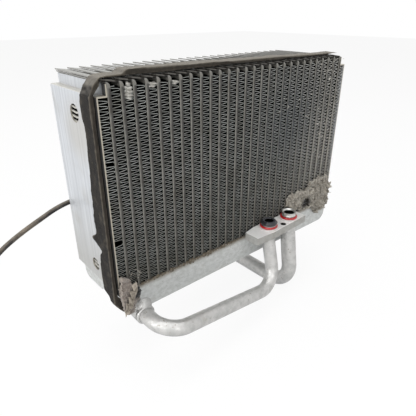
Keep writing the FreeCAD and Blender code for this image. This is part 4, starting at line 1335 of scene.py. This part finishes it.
@dataclass
class Studio:
    """The camera, the lamps, the world and the floor. The camera's place is in mm, the lamps' are in metres."""

    place: Point = (-353.4, -269.5, 232.7)
    right: Point = (0.7579, -0.6523, 0.0)
    upward: Point = (0.2849, 0.3310, 0.8995)
    lens: float = 34.9
    floor_z: float = -108.5
    floor_width: float = 12.0
    floor_glow: float = 0.9
    room_light: float = 0.55
    lamps: Sequence[tuple[str, Point, Point, float, float]] = (
        ("left_window", (-1.6, -0.1, 0.7), (-0.1, 0.05, 0.05), 1.2, 19),
        ("front_fill", (-0.6, -1.8, 0.9), (-0.05, 0.05, 0.05), 1.4, 12),
        ("top_panel", (-0.1, 0.1, 1.7), (-0.05, 0.05, 0.0), 1.6, 20))

    def camera(self) -> None:
        """Sets the camera where the photograph was taken from."""
        data = bpy.data.cameras.new("camera")
        data.lens = self.lens
        data.sensor_width = 36.0
        data.clip_start = 0.01
        camera = add_object("camera", data)
        right, upward = Vector(self.right), Vector(self.upward)
        frame_axes = Matrix((right, upward, right.cross(upward))).transposed().to_4x4()
        camera.matrix_world = Matrix.Translation(Vector(self.place) * MM) @ frame_axes
        bpy.context.scene.camera = camera

    def lamp(self, name: str, place: Point, aim: Point, size: float, power: float) -> None:
        """Adds a soft square lamp.

        Args:
            name: the lamp's name.
            place: where it stands, in metres.
            aim: the point it faces, in metres.
            size: its side, in metres.
            power: its power in watts.
        """
        data = bpy.data.lights.new(name, "AREA")
        data.size = size
        data.energy = power
        lamp = add_object(name, data)
        lamp.location = place
        lamp.rotation_euler = (Vector(aim) - Vector(place)).to_track_quat("-Z", "Y").to_euler()

    @staticmethod
    def seen_ray(tree: Tree) -> Socket:
        """Tells the rays that show the background from those that light the part.

        Args:
            tree: the tree that gets the nodes.

        Returns:
            1 for a ray of the camera, a reflection or a view through glass, else 0.
        """
        path = add_node(tree, "ShaderNodeLightPath").outputs
        shown = add_node(tree, "ShaderNodeMath", {
            0: path["Is Camera Ray"], 1: path["Is Glossy Ray"]}, operation="MAXIMUM").outputs[0]
        return add_node(tree, "ShaderNodeMath", {
            0: shown, 1: path["Is Transmission Ray"]}, operation="MAXIMUM").outputs[0]

    def world(self) -> None:
        """Lights the room evenly and shows it white to the camera and in reflections."""
        world = bpy.data.worlds.new("studio")
        bpy.context.scene.world = world
        world.use_nodes = True
        tree = world.node_tree
        tree.nodes.clear()
        seen = self.seen_ray(tree)
        light = add_node(tree, "ShaderNodeBackground", {"Color": linear("F5F5F6"), "Strength": self.room_light})
        shown = add_node(tree, "ShaderNodeBackground", {"Color": linear("FFFFFF"), "Strength": 1.0})
        mix = add_node(tree, "ShaderNodeMixShader", {0: seen, 1: light.outputs[0], 2: shown.outputs[0]})
        add_node(tree, "ShaderNodeOutputWorld", {0: mix.outputs[0]})

    def floor(self) -> None:
        """Lays a pale floor that shows white and keeps the part's shadow."""
        bpy.ops.mesh.primitive_plane_add(size=self.floor_width, location=(0, 0, self.floor_z * MM))
        floor = bpy.context.object
        floor.name = "floor"
        material = bpy.data.materials.new("painted_studio_floor")
        material.use_nodes = True
        tree = material.node_tree
        tree.nodes.clear()
        matt = add_node(tree, "ShaderNodeBsdfDiffuse", {"Color": linear("E9E9E8")})
        glow = add_node(tree, "ShaderNodeEmission", {"Color": linear("FFFFFF"), "Strength": 1.0})
        amount = add_node(tree, "ShaderNodeMath", {
            0: self.seen_ray(tree), 1: self.floor_glow}, operation="MULTIPLY").outputs[0]
        mix = add_node(tree, "ShaderNodeMixShader", {0: amount, 1: matt.outputs[0], 2: glow.outputs[0]})
        add_node(tree, "ShaderNodeOutputMaterial", {0: mix.outputs[0]})
        floor.data.materials.append(material)

    def build(self) -> None:
        """Sets up the whole studio."""
        self.camera()
        self.world()
        self.floor()
        for name, place, aim, size, power in self.lamps:
            self.lamp(name, place, aim, size, power)
        bpy.context.scene.view_settings.view_transform = "Standard"


def main() -> None:
    """Builds the studio and the part's pieces in order."""
    logging.basicConfig(level=logging.INFO, format="%(name)s: %(message)s")
    Studio().build()
    SensorLead().build()
    Core().build()
    Ports().build()
    BunchedFins().build()
    DustRidge("dust_left_of_block", start=-193, end=-52).build()
    Foam().build()
    Lint("bright_lint", BRIGHT_LINT, BRIGHT_SPOTS, front_y=18.3, deep=1.2, longest=5.0, widest=1.1, seed=9).build()
    Lint("clinging_lint", TORN_SHRED, DULL_SPOTS, front_y=18.2, deep=2.0, longest=4.0, widest=0.7, seed=5).build()


if __name__ == "__main__":
    main()
